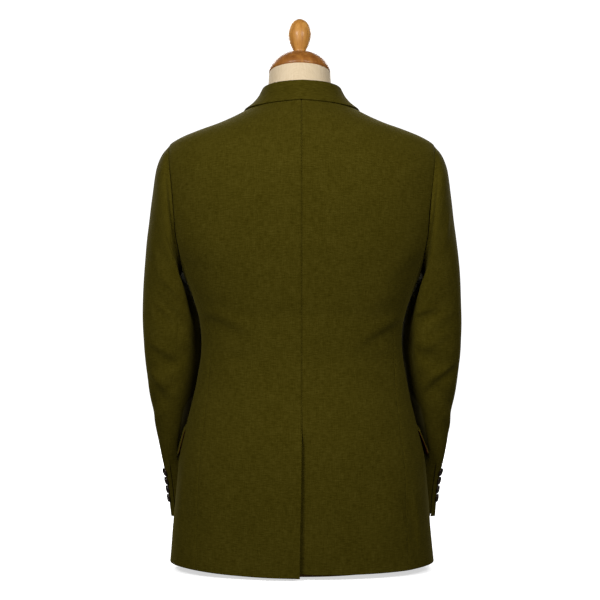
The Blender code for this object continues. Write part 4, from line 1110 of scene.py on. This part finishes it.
def collar_place(along, share):
    """Angle, height and bow of the collar's outer leaf: share 0 is the fold, 1 the outer edge."""
    place = {name: COLLAR.read(name, along) for name in COLLAR.values}
    angle = place["fold_angle"] + (place["edge_angle"] - place["fold_angle"]) * share
    height = place["fold_height"] + (place["edge_height"] - place["fold_height"]) * share
    corners = (0, GORGE_SHARE, 1)
    end_x, end_height = (
        np.interp(share, corners, [point[size] for point in (GORGE_TOP, NOTCH, COLLAR_TIP)])
        for size in ("across", "height")
    )
    at_end = np.clip((along - END_SHAPING) / (1 - END_SHAPING), 0, 1) ** 3
    angle = angle + (angle_at(end_x, end_height, True) - angle) * at_end
    height = height + (end_height - height) * at_end
    return angle, height, place["bow"] * 4 * share * (1 - share)


def build_collar():
    """Stand, fold and turned-down leaf in one piece, from gorge to gorge round the back of the neck."""
    half = stations(COLLAR_HALF, False, True, COLLAR_GRID)[:, None]
    shares = LEAF_START + (1 - LEAF_START) * stations(LEAF_WIDTH, False, True, COLLAR_GRID)[None, :]
    angle, height, bow = collar_place(half, shares)
    lift = LAYER + LAYER_GAP + bow + COLLAR_ROLL * (1 - shares) - HALF_CLOTH
    first_angle, first_height, first_lift = angle[:, :1], height[:, :1], lift[:, :1]
    round_it = metres_round(first_angle, first_height)
    steps = (first_angle - angle[:, [LEAF_AHEAD]]) * round_it, first_height - height[:, [LEAF_AHEAD]]
    run = unit(np.concatenate(steps, axis=1))
    radius = (first_lift + HALF_CLOTH) / 2
    turn = np.linspace(math.pi, 0, FOLD_COLUMNS)[None, :-1]
    stand = np.maximum(first_height - neck_seam(first_angle) - 2 * SEAM_GAP, STAND_LEAST)
    down = np.linspace(1, 0, STAND_ROWS)[None, :-1] * stand
    reach = np.concatenate([-down, radius * np.sin(turn)], axis=1)
    fold_lift = first_lift - radius * (1 - np.cos(turn))
    angles = np.concatenate([first_angle + reach * run[:, :1] / round_it, angle], axis=1)
    heights = np.concatenate([first_height + reach * run[:, 1:], height], axis=1)
    lifts = np.concatenate([np.full_like(down, -HALF_CLOTH), fold_lift, lift], axis=1)
    left = on_body(angles, heights, lifts)
    middle = np.concatenate([(left * np.array([-1, 1, 1]))[:0:-1], left])
    away = distances(middle)
    first_leaf = angles.shape[1] - shares.shape[1]
    in_notch = blend(*IN_NOTCH, np.concatenate([np.zeros(first_leaf), shares[0]]))[None, :]
    in_gorge = (1 - in_notch) * (np.arange(middle.shape[1])[None, :] >= first_leaf)
    ends = away["first_column"], away["last_column"]
    edges = [(1.0, away["last_row"])] + [(in_notch, end) for end in ends]
    about_middle("collar", middle, edges, [(in_gorge, end) for end in ends], also=("collar_stand",))


def build_flap(side):
    along = stations(FLAP_LENGTH)[:, None]
    down = stations(FLAP_DEPTH)[None, :]
    angles = FLAP_HIND_ANGLE + (FLAP_FORE_ANGLE - FLAP_HIND_ANGLE) * along + 0 * down
    top = FLAP_HIND_TOP + (FLAP_FORE_TOP - FLAP_HIND_TOP) * along
    to_corner = np.maximum(0, 1 - np.minimum(along, 1 - along) / FLAP_CORNER)
    heights = top - (FLAP_DEPTH - FLAP_ROUNDING * to_corner**2) * down
    lift = LAYER + LAYER_GAP + FLAP_STAND_OFF[side] * np.maximum(0, 1 - along / FLAP_LIFTED) ** 2 * down
    lift = lift + FLAP_RIPPLE * np.sin(along * FLAP_WAVES + 1) * down
    if side == "left":
        lift = lift + front_lift(section_point(angles, heights)[..., 0])
    away = distances(on_body(angles, heights))
    lift = lift - FLAP_SEAM_DEPTH * np.exp(-((away["first_row"] / FLAP_SEAM_WIDTH) ** 2))
    edges = [(1.0, away[name]) for name in ("first_column", "last_column", "last_row")]
    body_shell(f"pocket_flap_{side}", angles, heights, lift, side, [], edges,
               lined=np.ones((len(along) - 1, down.shape[1] - 1), bool))


# ---------------------------------------------------------------- sleeves


def clear_of_body(points):
    """Points moved out from the body's axis where they would come too near to its surface or to a flap."""
    x, y, z = points[..., 0], points[..., 1], points[..., 2]
    power = BODY.read("squareness", z)
    deep = np.where(y >= 0, BODY.read("back", z), BODY.read("front", z))
    reach = (np.abs(x / BODY.read("half_width", z)) ** power + np.abs(y / deep) ** power) ** (1 / power)
    flap_foot = FLAP_HIND_TOP - FLAP_DEPTH
    at_flap = blend(flap_foot - FLAP_FADE_BELOW, flap_foot, z)
    at_flap = at_flap * (1 - blend(FLAP_FORE_TOP, FLAP_FORE_TOP + FLAP_FADE_ABOVE, z))
    clearance = SLEEVE_CLEARANCE + FLAP_CLEARANCE * at_flap
    seam = np.where(y >= 0, ARMHOLE.read("behind", z), ARMHOLE.read("before", z))
    below = 1 - blend(ARMHOLE_BOTTOM, ARMHOLE_BOTTOM + UNDERARM_FADE, z)
    beside = 1 - blend(seam + SLEEVE_CLEARANCE, seam + SLEEVE_CLEARANCE + BESIDE_FADE, x)
    wanted = 1 / reach + clearance / np.hypot(x, y) - 1
    pushed = (wanted + np.sqrt(wanted**2 + CLEARING_SOFTNESS**2)) / 2
    scale = 1 + pushed * np.maximum(below, beside) * (wanted > -6 * CLEARING_SOFTNESS)
    return points * np.stack([scale, scale, np.ones_like(scale)], -1)


def sleeve_dent(along, turn, side):
    """How deep the sleeve's folds and creases are at a place."""
    dent = 0
    for fold in SLEEVE_FOLDS:
        off = (turn - fold["turn"] + 180) % 360 - 180
        ahead = along - fold["along"] - fold["slant"] * off
        dent = dent + fold["depth"] * np.exp(-((ahead / fold["reach"]) ** 2) - (off / fold["spread"]) ** 2)
    whole = turn % 360
    dent = dent - creased(whole, along, SLEEVE_CREASES[side], SLEEVE_REACH, SLEEVE_LENGTH)
    wave = rippled(np.sin(np.radians(turn)) * SLEEVE_RADIUS, along * SLEEVE_LENGTH + SLEEVE_PHASE[side])
    return dent - wave * blend(*SLEEVE_WAVES_START, along)


def sleeve_point(along, turn, side, inset=0.0):
    """The surface of a sleeve below the armhole, as a left one."""
    read = {name: SLEEVE.read(name, along) for name in SLEEVE.values}
    cos, sin = np.cos(np.radians(turn)), np.sin(np.radians(turn))
    power = 2 / SLEEVE_SQUARENESS
    out = np.sign(cos) * np.abs(cos) ** power
    back = np.sign(sin) * np.abs(sin) ** power
    dent = sleeve_dent(along, turn, side) + inset
    hugged = read["hug"] * np.exp(-(((turn % 360 - HUG_TURN) / HUG_SPREAD) ** 2))
    tucked = read["tuck"] * np.exp(-(((turn % 360 - TUCK_TURN) / TUCK_SPREAD) ** 2))
    across = (read["half_across"] - dent) * out + tucked - hugged
    deep = (read["half_deep"] - dent) * back
    yaw = np.radians(read["turn"])
    x = read["mid_x"] + across * np.cos(yaw) + deep * np.sin(yaw)
    y = read["mid_y"] - across * np.sin(yaw) + deep * np.cos(yaw)
    z = (read["outer_z"] + read["inner_z"]) / 2 + (read["outer_z"] - read["inner_z"]) / 2 * out
    return clear_of_body(np.stack([x, y, z - read["pitch"] * deep], -1))


def curved_through(points, counts):
    """Points on smooth curves along axis 1 through the given ones, some more in each gap."""
    lengths = np.linalg.norm(np.diff(points, axis=1), axis=-1, keepdims=True)
    slopes = np.diff(points, axis=1) / lengths
    weighted = slopes[:, :-1] * lengths[:, 1:] + slopes[:, 1:] * lengths[:, :-1]
    inner = weighted / (lengths[:, :-1] + lengths[:, 1:])
    tangents = np.concatenate([slopes[:, :1], inner, slopes[:, -1:]], axis=1)
    found = []
    for gap, count in enumerate(counts):
        t = (np.arange(count) / count)[None, :, None]
        size = lengths[:, gap][:, None]
        found.append(
            (1 + 2 * t) * (1 - t) ** 2 * points[:, gap][:, None]
            + t * (1 - t) ** 2 * size * tangents[:, gap][:, None]
            + t * t * (3 - 2 * t) * points[:, gap + 1][:, None]
            + t * t * (t - 1) * size * tangents[:, gap + 1][:, None]
        )
    return np.concatenate(found, axis=1)


ARMHOLE_RING = np.arange(24) * 15.0
ARMHOLE_CENTRE = on_body(armhole_angle(ARMHOLE_RING), armhole_height(ARMHOLE_RING)).mean(axis=0)


def sleeve_outer(turns, side, lifted):
    """Outer points of the sleeve by turn and ring, and each ring's share along it. It starts at the armhole
    seam and rolls over it before it hangs down. lifted(along, turn) is how far it stands off there."""
    angle, height = armhole_angle(turns), armhole_height(turns)
    seam, normal = on_body(angle, height), outward(angle, height)
    ahead, behind = (on_body(armhole_angle(at), armhole_height(at)) for at in (turns + 1, turns - 1))
    away = unit(np.cross(unit(ahead - behind), normal))
    away = away * -np.sign(np.sum(away * (seam - ARMHOLE_CENTRE), axis=1))[:, None]
    from_top = 180 - np.abs(turns % 360 - 180)
    rise = normal * SLEEVE_HEAD.read("rise", from_top)[:, None]
    run = away * SLEEVE_HEAD.read("run", from_top)[:, None]
    start = seam + away * SEAM_GAP
    top = start + rise * HEAD_TOP_RISE + run * HEAD_TOP_RUN
    first = [sleeve_point(np.full_like(turns, at), turns, side) for at in HEAD_SHARES]
    head = curved_through(np.stack([start, top, start + rise + run] + first, axis=1), HEAD_RINGS)
    rings = HANGS_FROM + (1 - HANGS_FROM) * stations(SLEEVE_HANG, False, True, SLEEVE_GRID)
    grid_along, grid_turn = np.broadcast_arrays(rings[None, :], turns[:, None])
    hanging = sleeve_point(grid_along, grid_turn, side, -lifted(grid_along, grid_turn))
    alongs = np.concatenate([np.linspace(0, HANGS_FROM, head.shape[1]), rings])
    return np.concatenate([head, hanging], axis=1), alongs


def swung(points, side):
    """The right sleeve hangs out a little more than the left one."""
    swing = RIGHT_SLEEVE_SWING * (1 - blend(*SWING_HEIGHTS, points[..., 2])) if side == "right" else 0
    return points + np.stack(np.broadcast_arrays(swing, 0 * points[..., 0], 0), -1)


def build_sleeve(side):
    """The top sleeve laps over the under sleeve below the cuff vent's top; above it the two are seamed."""
    spans = {"top": (FORE_SEAM_TURN - 360, HIND_SEAM_TURN), "under": (HIND_SEAM_TURN, FORE_SEAM_TURN)}
    for name, (first, last) in spans.items():
        width = (last - first) * SLEEVE_GIRTH
        turns = first + (last - first) * stations(width, True, True, SLEEVE_ROUND_GRID)

        def lifted(along, turn):
            near = np.clip(1 - np.abs(turn % 360 - HIND_SEAM_TURN) / CUFF_VENT_SPREAD, 0, 1)
            return CUFF_VENT_LIFT[name] * near * blend(*CUFF_VENT_OPENS, along)

        outer, alongs = sleeve_outer(turns, side, lifted)
        outer = swung(outer, side)
        normal = grid_normals(outer)
        away = distances(outer)
        in_vent = blend(CUFF_VENT_TOP - CUFF_VENT_BLEND, CUFF_VENT_TOP + CUFF_VENT_BLEND, alongs)[None, :]
        hind, fore = ("last_column", "first_column") if name == "top" else ("first_column", "last_column")
        dip = (groove(away[fore]) + groove(away[hind]) * (1 - in_vent)) * FAINT_SEAM
        dip = dip + groove(away["first_row"]) * ARMHOLE_SEAM
        inset = rounding(away["last_row"]) + rounding(away[hind]) * in_vent
        shown = outer + normal * (dip - inset)[..., None]
        inner = outer - normal * (CLOTH - inset)[..., None]
        shell(f"{name}_sleeve_{side}", shown, inner, side, lined=away["last_row"][1:, 1:] > CUFF_TURNED,
              level="last_row")


# ---------------------------------------------------------------- buttons

FRONT_BUTTON_RADIUS = 0.0105
FRONT_BUTTON_HEIGHTS = (0.3770, 0.2670)
CUFF_BUTTON_RADIUS = 0.0073
CUFF_BUTTON_SEARCH = np.linspace(0.84, 1, 81), np.linspace(60, 90, 61)     # shares along and turns round
BUTTON_GAP = 0.0003
BUTTON_SPIN = {"front": 0.2, "cuff": 0.3}       # radians by which each next button is turned

# A button's thickness over its radius, and its outline: across over the radius, up over the thickness
BUTTON_THICKNESS = 0.30
BUTTON_DISH = ((0, 0.62), (0.60, 0.62), (0.72, 0.66))
BUTTON_RIM = [(0.90 + 0.10 * math.sin(a), 0.62 + 0.38 * math.cos(a)) for a in np.linspace(-0.6, 2.3, 12)]
BUTTON_FOOT = ((0.80, 0), (0, 0))
BUTTON_STEPS = 40
HOLE_SPREAD, HOLE_RADIUS = 0.20, 0.085          # over the radius
SHANK_RADII = (0.30, 0.24)          # over the radius, at its foot and where it meets the button
SHANK_HEIGHT, SHANK_PLACE = 0.4, -0.15          # over the thickness
THREAD_IN_HOLE = 0.62               # the thread's radius over the hole's
STITCH_FOOT, STITCH_ARCH = 0.30, 0.62           # over the thickness
STITCH_POINTS, STITCH_SIDES, STITCH_BREADTH = 11, 8, 1.3

BUTTONHOLE_LENGTH, BUTTONHOLE_WIDTH = 0.024, 0.0024
BUTTONHOLE_START = 0.0030           # how far it reaches past the button's middle, towards the front edge
BUTTONHOLE_STITCHES, BUTTONHOLE_SIDES = 44, 8
BUTTONHOLE_THREAD, BUTTONHOLE_SWELL, BUTTONHOLE_RISE = 0.0008, 0.22, 0.6   # radius, its swell, and its height


def turned_mesh(name, profile, steps, materials=()):
    """A solid turned from (radius, height) points that run down its outer side from axis to axis."""
    profile = np.array(profile)
    turn = np.arange(steps) * 2 * math.pi / steps
    rings = profile[1:-1]
    points = np.stack(
        [rings[:, :1] * np.cos(turn), rings[:, :1] * np.sin(turn), np.repeat(rings[:, 1:], steps, axis=1)], -1
    ).reshape(-1, 3)
    top, bottom = len(points), len(points) + 1
    points = np.concatenate([points, [[0, 0, profile[0, 1]], [0, 0, profile[-1, 1]]]])
    index = np.arange(len(rings) * steps).reshape(len(rings), steps)
    after = np.roll(index, -1, axis=1)
    faces = np.stack([index[:-1], index[1:], after[1:], after[:-1]], -1).reshape(-1, 4).tolist()
    faces += [[top, a, b] for a, b in zip(index[0], after[0])]
    faces += [[bottom, b, a] for a, b in zip(index[-1], after[-1])]
    across = np.arctan2(points[:, 1], points[:, 0]) * np.maximum(np.hypot(points[:, 0], points[:, 1]), 1e-4)
    return smooth_mesh(name, points, faces, np.stack([across, points[:, 2]], -1), SHARP_TURNED, materials)


def button_mesh(radius):
    """A four-hole horn button with a rolled rim, its thread and the shank under it."""
    thick = radius * BUTTON_THICKNESS
    outline = (*BUTTON_DISH, *BUTTON_RIM, *BUTTON_FOOT)
    solid = turned_mesh("button", [(radius * x, thick * z) for x, z in outline], BUTTON_STEPS)
    body = linked("button", solid)
    spread, hole = radius * HOLE_SPREAD, radius * HOLE_RADIUS
    corners = [(spread * a, spread * b) for a, b in ((1, 1), (-1, 1), (-1, -1), (1, -1))]

    def add_drills(shape):
        for x, y in corners:
            bmesh.ops.create_cone(shape, cap_ends=True, segments=14, radius1=hole, radius2=hole,
                                  depth=thick * 4, matrix=Matrix.Translation((x, y, 0)))

    def sew_on(shape):
        horn_faces = len(shape.faces)
        for first, second in ((0, 2), (1, 3)):
            stitch(shape, corners[first], corners[second], thick, hole * THREAD_IN_HOLE)
        bmesh.ops.create_cone(shape, cap_ends=True, segments=12, radius1=radius * SHANK_RADII[0],
                              radius2=radius * SHANK_RADII[1], depth=thick * SHANK_HEIGHT,
                              matrix=Matrix.Translation((0, 0, thick * SHANK_PLACE)))
        shape.faces.ensure_lookup_table()
        for face in shape.faces[horn_faces:]:
            face.material_index = 1
            face.smooth = True

    cutter = linked("holes", bpy.data.meshes.new("holes"))
    reshaped(cutter.data, add_drills)
    cut = body.modifiers.new("holes", "BOOLEAN")
    cut.operation, cut.object = "DIFFERENCE", cutter
    bpy.context.view_layer.update()
    holed = bpy.data.meshes.new_from_object(body.evaluated_get(bpy.context.evaluated_depsgraph_get()))
    bpy.data.objects.remove(body)
    bpy.data.objects.remove(cutter)
    reshaped(holed, sew_on)
    holed.materials.clear()
    holed.materials.append(HORN)
    holed.materials.append(THREAD)
    return holed


def stitch(shape, start, end, height, radius):
    """A bundle of thread that arches from one hole of a button to another."""
    start, end = Vector((*start, 0)), Vector((*end, 0))
    path = []
    for t in np.linspace(0, 1, STITCH_POINTS):
        rise = height * (STITCH_FOOT + STITCH_ARCH * min(1, 4 * t, 4 * (1 - t)) ** 0.5)
        path.append(start + (end - start) * t + Vector((0, 0, rise)))
    side = (path[-1] - path[0]).normalized().cross(Vector((0, 0, 1)))
    rings = []
    for i, point in enumerate(path):
        before, after = path[max(i - 1, 0)], path[min(i + 1, len(path) - 1)]
        up = (after - before).normalized().cross(side)
        ring = [side * math.cos(a) * STITCH_BREADTH - up * math.sin(a)
                for a in np.arange(STITCH_SIDES) * 2 * math.pi / STITCH_SIDES]
        rings.append([shape.verts.new(point + radius * way) for way in ring])
    for lower, upper in zip(rings, rings[1:]):
        for k in range(STITCH_SIDES):
            following = (k + 1) % STITCH_SIDES
            shape.faces.new([lower[k], lower[following], upper[following], upper[k]])
    shape.faces.new(rings[0][::-1])
    shape.faces.new(rings[-1])


def facing(point, normal, spin=0.0):
    """The matrix that puts a button on a point, its axis along the normal."""
    turn = Vector((0, 0, 1)).rotation_difference(Vector(normal)).to_matrix().to_4x4()
    return Matrix.Translation(Vector(point)) @ turn @ Matrix.Rotation(spin, 4, "Z")


def place_button(node, mesh, place):
    """A copy of a button in place of its node."""
    own = mesh.copy()
    own.transform(place)
    finished(linked(node + "_horn", own), "horn", node)


def build_front_buttons():
    mesh = button_mesh(FRONT_BUTTON_RADIUS)
    for number, height in enumerate(FRONT_BUTTON_HEIGHTS, start=1):
        angle, at = np.array([180.0]), np.array([height])
        normal = outward(angle, at)[0]
        point = on_body(angle, at, LAYER)[0] + normal * BUTTON_GAP
        place_button(f"front_button_{number}", mesh, facing(point, normal, BUTTON_SPIN["front"] * number))


def build_cuff_buttons(side):
    """Each button sits on the sleeve where it comes nearest to the model's button."""
    mesh = button_mesh(CUFF_BUTTON_RADIUS)
    mirror = np.array([-1 if side == "right" else 1, 1, 1])
    alongs, turns = np.meshgrid(*CUFF_BUTTON_SEARCH, indexing="ij")
    points = swung(sleeve_point(alongs, turns, side), side)
    for number in range(1, 5):
        node = f"cuff_button_{side}_{number}"
        low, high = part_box(node)
        centre = np.array((low + high) / 2) * mirror
        nearest = np.unravel_index(np.argmin(np.linalg.norm(points - centre, axis=-1)), alongs.shape)
        i, j = np.clip(nearest, 1, np.array(alongs.shape) - 2)
        normal = unit(np.cross(points[i, j + 1] - points[i, j - 1], points[i + 1, j] - points[i - 1, j]))
        normal = normal * np.sign(normal[0])
        point = (points[i, j] + normal * BUTTON_GAP) * mirror
        place_button(node, mesh, facing(point, normal * mirror, BUTTON_SPIN["cuff"] * number))


def build_buttonholes():
    """The worked buttonholes of the left front, each a slit ringed with close stitches."""
    turn, ring = np.meshgrid(
        *(np.arange(steps) * 2 * math.pi / steps for steps in (4 * BUTTONHOLE_STITCHES, BUTTONHOLE_SIDES)),
        indexing="ij",
    )
    thick = BUTTONHOLE_THREAD * (1 + BUTTONHOLE_SWELL * np.sin(BUTTONHOLE_STITCHES * turn))
    beside = unit(np.stack([BUTTONHOLE_WIDTH * np.cos(turn), BUTTONHOLE_LENGTH * np.sin(turn)], -1))
    centre = np.stack([BUTTONHOLE_LENGTH * np.cos(turn), BUTTONHOLE_WIDTH * np.sin(turn)], -1) / 2
    place = centre + beside * (thick * np.cos(ring))[..., None]
    index = np.arange(turn.size).reshape(turn.shape)
    after = np.roll(index, -1, axis=0)
    faces = np.stack([index, after, np.roll(after, -1, axis=1), np.roll(index, -1, axis=1)], -1)
    for number, height in enumerate(FRONT_BUTTON_HEIGHTS, start=1):
        up = height + place[..., 1]
        around = moved_round(180.0, up, place[..., 0] + BUTTONHOLE_START - BUTTONHOLE_LENGTH / 2)
        lift = front_lift(section_point(around, up)[..., 0]) + body_relief(around, up, "left")
        points = on_body(around, up, lift + BUTTONHOLE_RISE * thick * np.sin(ring))
        name = f"buttonhole_{number}_thread"
        mesh = smooth_mesh(name, points, faces.reshape(-1, 4).tolist(), materials=(THREAD,))
        reshaped(mesh, face_outwards)
        finished(linked(name, mesh), "moleskin")


# ---------------------------------------------------------------- the dress form


TORSO_HEIGHTS = np.concatenate([np.linspace(0.0203, 0.70, 90), np.linspace(0.705, 0.832, 60)])
TORSO_COLUMNS = 128
CAP_STEPS, KNOB_STEPS, ROUNDING_STEPS = 26, 34, 6
CAP_EDGE = (0.0002, 0.4)            # the rim's draw-in, and the height under which it stands, over the rim's
KNOB_TOP = ((0, 1), (0.0030, 0.996), (0.0050, 0.988))           # radius, and share of the height
KNOB_CROWN = (0.975, 0.96, 0.94, 0.92)
BASE_ROUNDING, BASE_FOOT_ROUNDING = 0.004, 0.001


def build_torso():
    """The linen-covered torso and neck, closed at its foot and top."""
    angle, height = np.meshgrid(np.linspace(0, 360, TORSO_COLUMNS + 1), TORSO_HEIGHTS, indexing="ij")
    read = {name: FORM.read(name, height) for name in FORM.values}
    sin, cos = np.sin(np.radians(angle)), np.cos(np.radians(angle))
    y = cos * np.where(cos >= 0, read["back"], read["front"])
    outer = np.stack([read["shift"] + read["half_width"] * sin, y, height + read["tilt"] * y], -1)
    index = np.arange(TORSO_COLUMNS * len(TORSO_HEIGHTS)).reshape(TORSO_COLUMNS, -1)
    after = np.roll(index, -1, axis=0)
    faces = np.stack([index[:, :-1], after[:, :-1], after[:, 1:], index[:, 1:]], -1).reshape(-1, 4).tolist()
    faces += [index[::-1, 0].tolist(), index[:, -1].tolist()]
    metres = cloth_metres(outer)[:-1].reshape(-1, 2)
    mesh = smooth_mesh("form_torso_linen", outer[:-1], faces, metres, materials=(LINEN,))
    reshaped(mesh, face_outwards)
    mesh.set_sharp_from_angle(angle=math.radians(SHARP_TORSO))
    finished(linked("form_torso_linen", mesh), "linen", "form_torso")


def turned_piece(node, profile, place, steps=72, wood=WOOD):
    """A turned wooden piece in place of its node."""
    mesh = turned_mesh(node + "_wood", profile, steps, (wood,))
    mesh.transform(place)
    finished(linked(node + "_wood", mesh), "wood", node)


def build_wood():
    """The cap and the knob on the slanting neck, and the board under the torso."""
    place = Matrix.Translation(Vector(NECK_TOP)) @ Matrix.Rotation(NECK_TILT, 4, "X")
    profile = [(0, CAP_HEIGHT)]
    for turn in np.radians(np.linspace(0, 90, CAP_STEPS)):
        radius = CAP_NECK_RADIUS + (CAP_RADIUS - CAP_NECK_RADIUS) * math.sin(turn) ** CAP_ROUNDNESS
        profile.append((radius, CAP_RIM + (CAP_HEIGHT - CAP_RIM) * max(math.cos(turn), 0) ** CAP_FALL))
    profile += [(CAP_RADIUS - CAP_EDGE[0], CAP_RIM * CAP_EDGE[1]), (CAP_RADIUS - CAP_UNDERCUT, SEAM_GAP),
                (0, SEAM_GAP)]
    turned_piece("neck_cap", profile, place, wood=CAP_WOOD)
    shares = np.concatenate([KNOB_CROWN, np.linspace(0.90, 0, KNOB_STEPS)])
    profile = [(radius, KNOB_HEIGHT * share) for radius, share in KNOB_TOP]
    profile += [(float(KNOB_OUTLINE.read("radius", share)), KNOB_HEIGHT * share) for share in shares]
    profile.append((0, 0))
    turned_piece("neck_knob", profile, place @ Matrix.Translation(Vector((0, 0, CAP_HEIGHT + SEAM_GAP))))
    arc = [(math.sin(a), math.cos(a)) for a in np.linspace(0, math.pi / 2, ROUNDING_STEPS)]
    profile = [(0, BASE_HEIGHT)]
    for size, height, turned in ((BASE_ROUNDING, BASE_HEIGHT, 1), (BASE_FOOT_ROUNDING, 0, -1)):
        for across, up in arc[::turned]:
            profile.append((BASE_HALF_WIDTH - size + size * across, height - turned * size * (1 - up)))
    profile.append((0, 0))
    turned_piece("form_base", profile, Matrix.Diagonal((1, BASE_HALF_DEPTH / BASE_HALF_WIDTH, 1, 1)), 96)


# ---------------------------------------------------------------- all of it


def build():
    for side in ("left", "right"):
        build_back(side)
        build_side(side)
        build_front(side)
        build_lapel(side)
        build_flap(side)
        build_sleeve(side)
        build_cuff_buttons(side)
    build_collar()
    build_front_buttons()
    build_buttonholes()
    build_torso()
    build_wood()


# ---------------------------------------------------------------- stage, lights and camera

STAGE_REACH = 9.0
DOME_GLOW = 1.1
FLOOR_GLOW = (0.62, 1.1)            # beside the form and far from it, where the lights fade
FLOOR_GLOW_AT = (0.9, 3.2)
AMBIENT = 0.04
LIGHTS = (
    ("left_key", (0.88, 1.72, 1.44), 0.8, 31.5),
    ("right_key", (-0.88, 1.72, 1.44), 0.8, 22.5),
    ("front_left", (1.00, -2.15, 1.50), 1.4, 48.0),
    ("front_right", (-0.95, -2.20, 1.30), 1.4, 38.0),
)
AIM = Vector((0, 0, 0.45))
CAMERA_PLACE = (0.0030, 2.9, 0.4510)
CAMERA_LENS = 103.3
SENSOR_WIDTH = 36.0


def staged(name, mesh, glow):
    """A pale glowing piece of the stage that lights nothing itself."""
    stage = linked(name, mesh)
    pale = Nodes("pale_" + name, Base_Color=(0.85, 0.85, 0.85, 1), Roughness=0.8, Specular_IOR_Level=0.0,
                 Emission_Color=(1, 1, 1, 1), Emission_Strength=glow)
    mesh.materials.append(pale.material)
    stage.visible_diffuse = stage.visible_glossy = False
    return stage, pale


def build_stage():
    """A plain pale floor, and round it a wide pale dome."""
    corners = [(STAGE_REACH * x, STAGE_REACH * y, 0) for x, y in ((-1, -1), (1, -1), (1, 1), (-1, 1))]
    floor = bpy.data.meshes.new("floor")
    floor.from_pydata(corners, [], [(0, 1, 2, 3)])
    pale = staged("floor", floor, FLOOR_GLOW[1])[1]
    place = pale.add("TexCoord").outputs["Object"]
    away = pale.add("VectorMath", {"operation": "LENGTH"}, i0=place).outputs["Value"]
    glow = pale.add("MapRange", {"interpolation_type": "SMOOTHSTEP"}, i0=away, i1=FLOOR_GLOW_AT[0],
                    i2=FLOOR_GLOW_AT[1], i3=FLOOR_GLOW[0], i4=FLOOR_GLOW[1])
    pale.feed(pale.shader.inputs["Emission Strength"], glow)
    dome = bpy.data.meshes.new("backdrop")
    reshaped(dome, lambda shape: bmesh.ops.create_uvsphere(shape, u_segments=48, v_segments=24,
                                                           radius=STAGE_REACH))
    staged("backdrop", dome, DOME_GLOW)[0].visible_shadow = False


def build_lights():
    world = bpy.data.worlds.new("studio")
    bpy.context.scene.world = world
    world.use_nodes = True
    background = world.node_tree.nodes["Background"].inputs
    background["Color"].default_value = (1, 1, 1, 1)
    background["Strength"].default_value = AMBIENT
    for name, place, size, power in LIGHTS:
        light = bpy.data.lights.new(name, "AREA")
        light.size, light.energy = size, power
        lamp = linked(name, light)
        lamp.location = place
        lamp.rotation_euler = (AIM - Vector(place)).to_track_quat("-Z", "Y").to_euler()


def build_camera():
    """The camera looks level at the back from the photo's mid height."""
    camera = linked("camera", bpy.data.cameras.new("camera"))
    camera.data.sensor_width, camera.data.lens = SENSOR_WIDTH, CAMERA_LENS
    camera.location = CAMERA_PLACE
    camera.rotation_euler = (math.radians(90), 0, math.radians(180))
    bpy.context.scene.camera = camera
    bpy.context.scene.view_settings.view_transform = "Standard"


build()
build_stage()
build_lights()
build_camera()
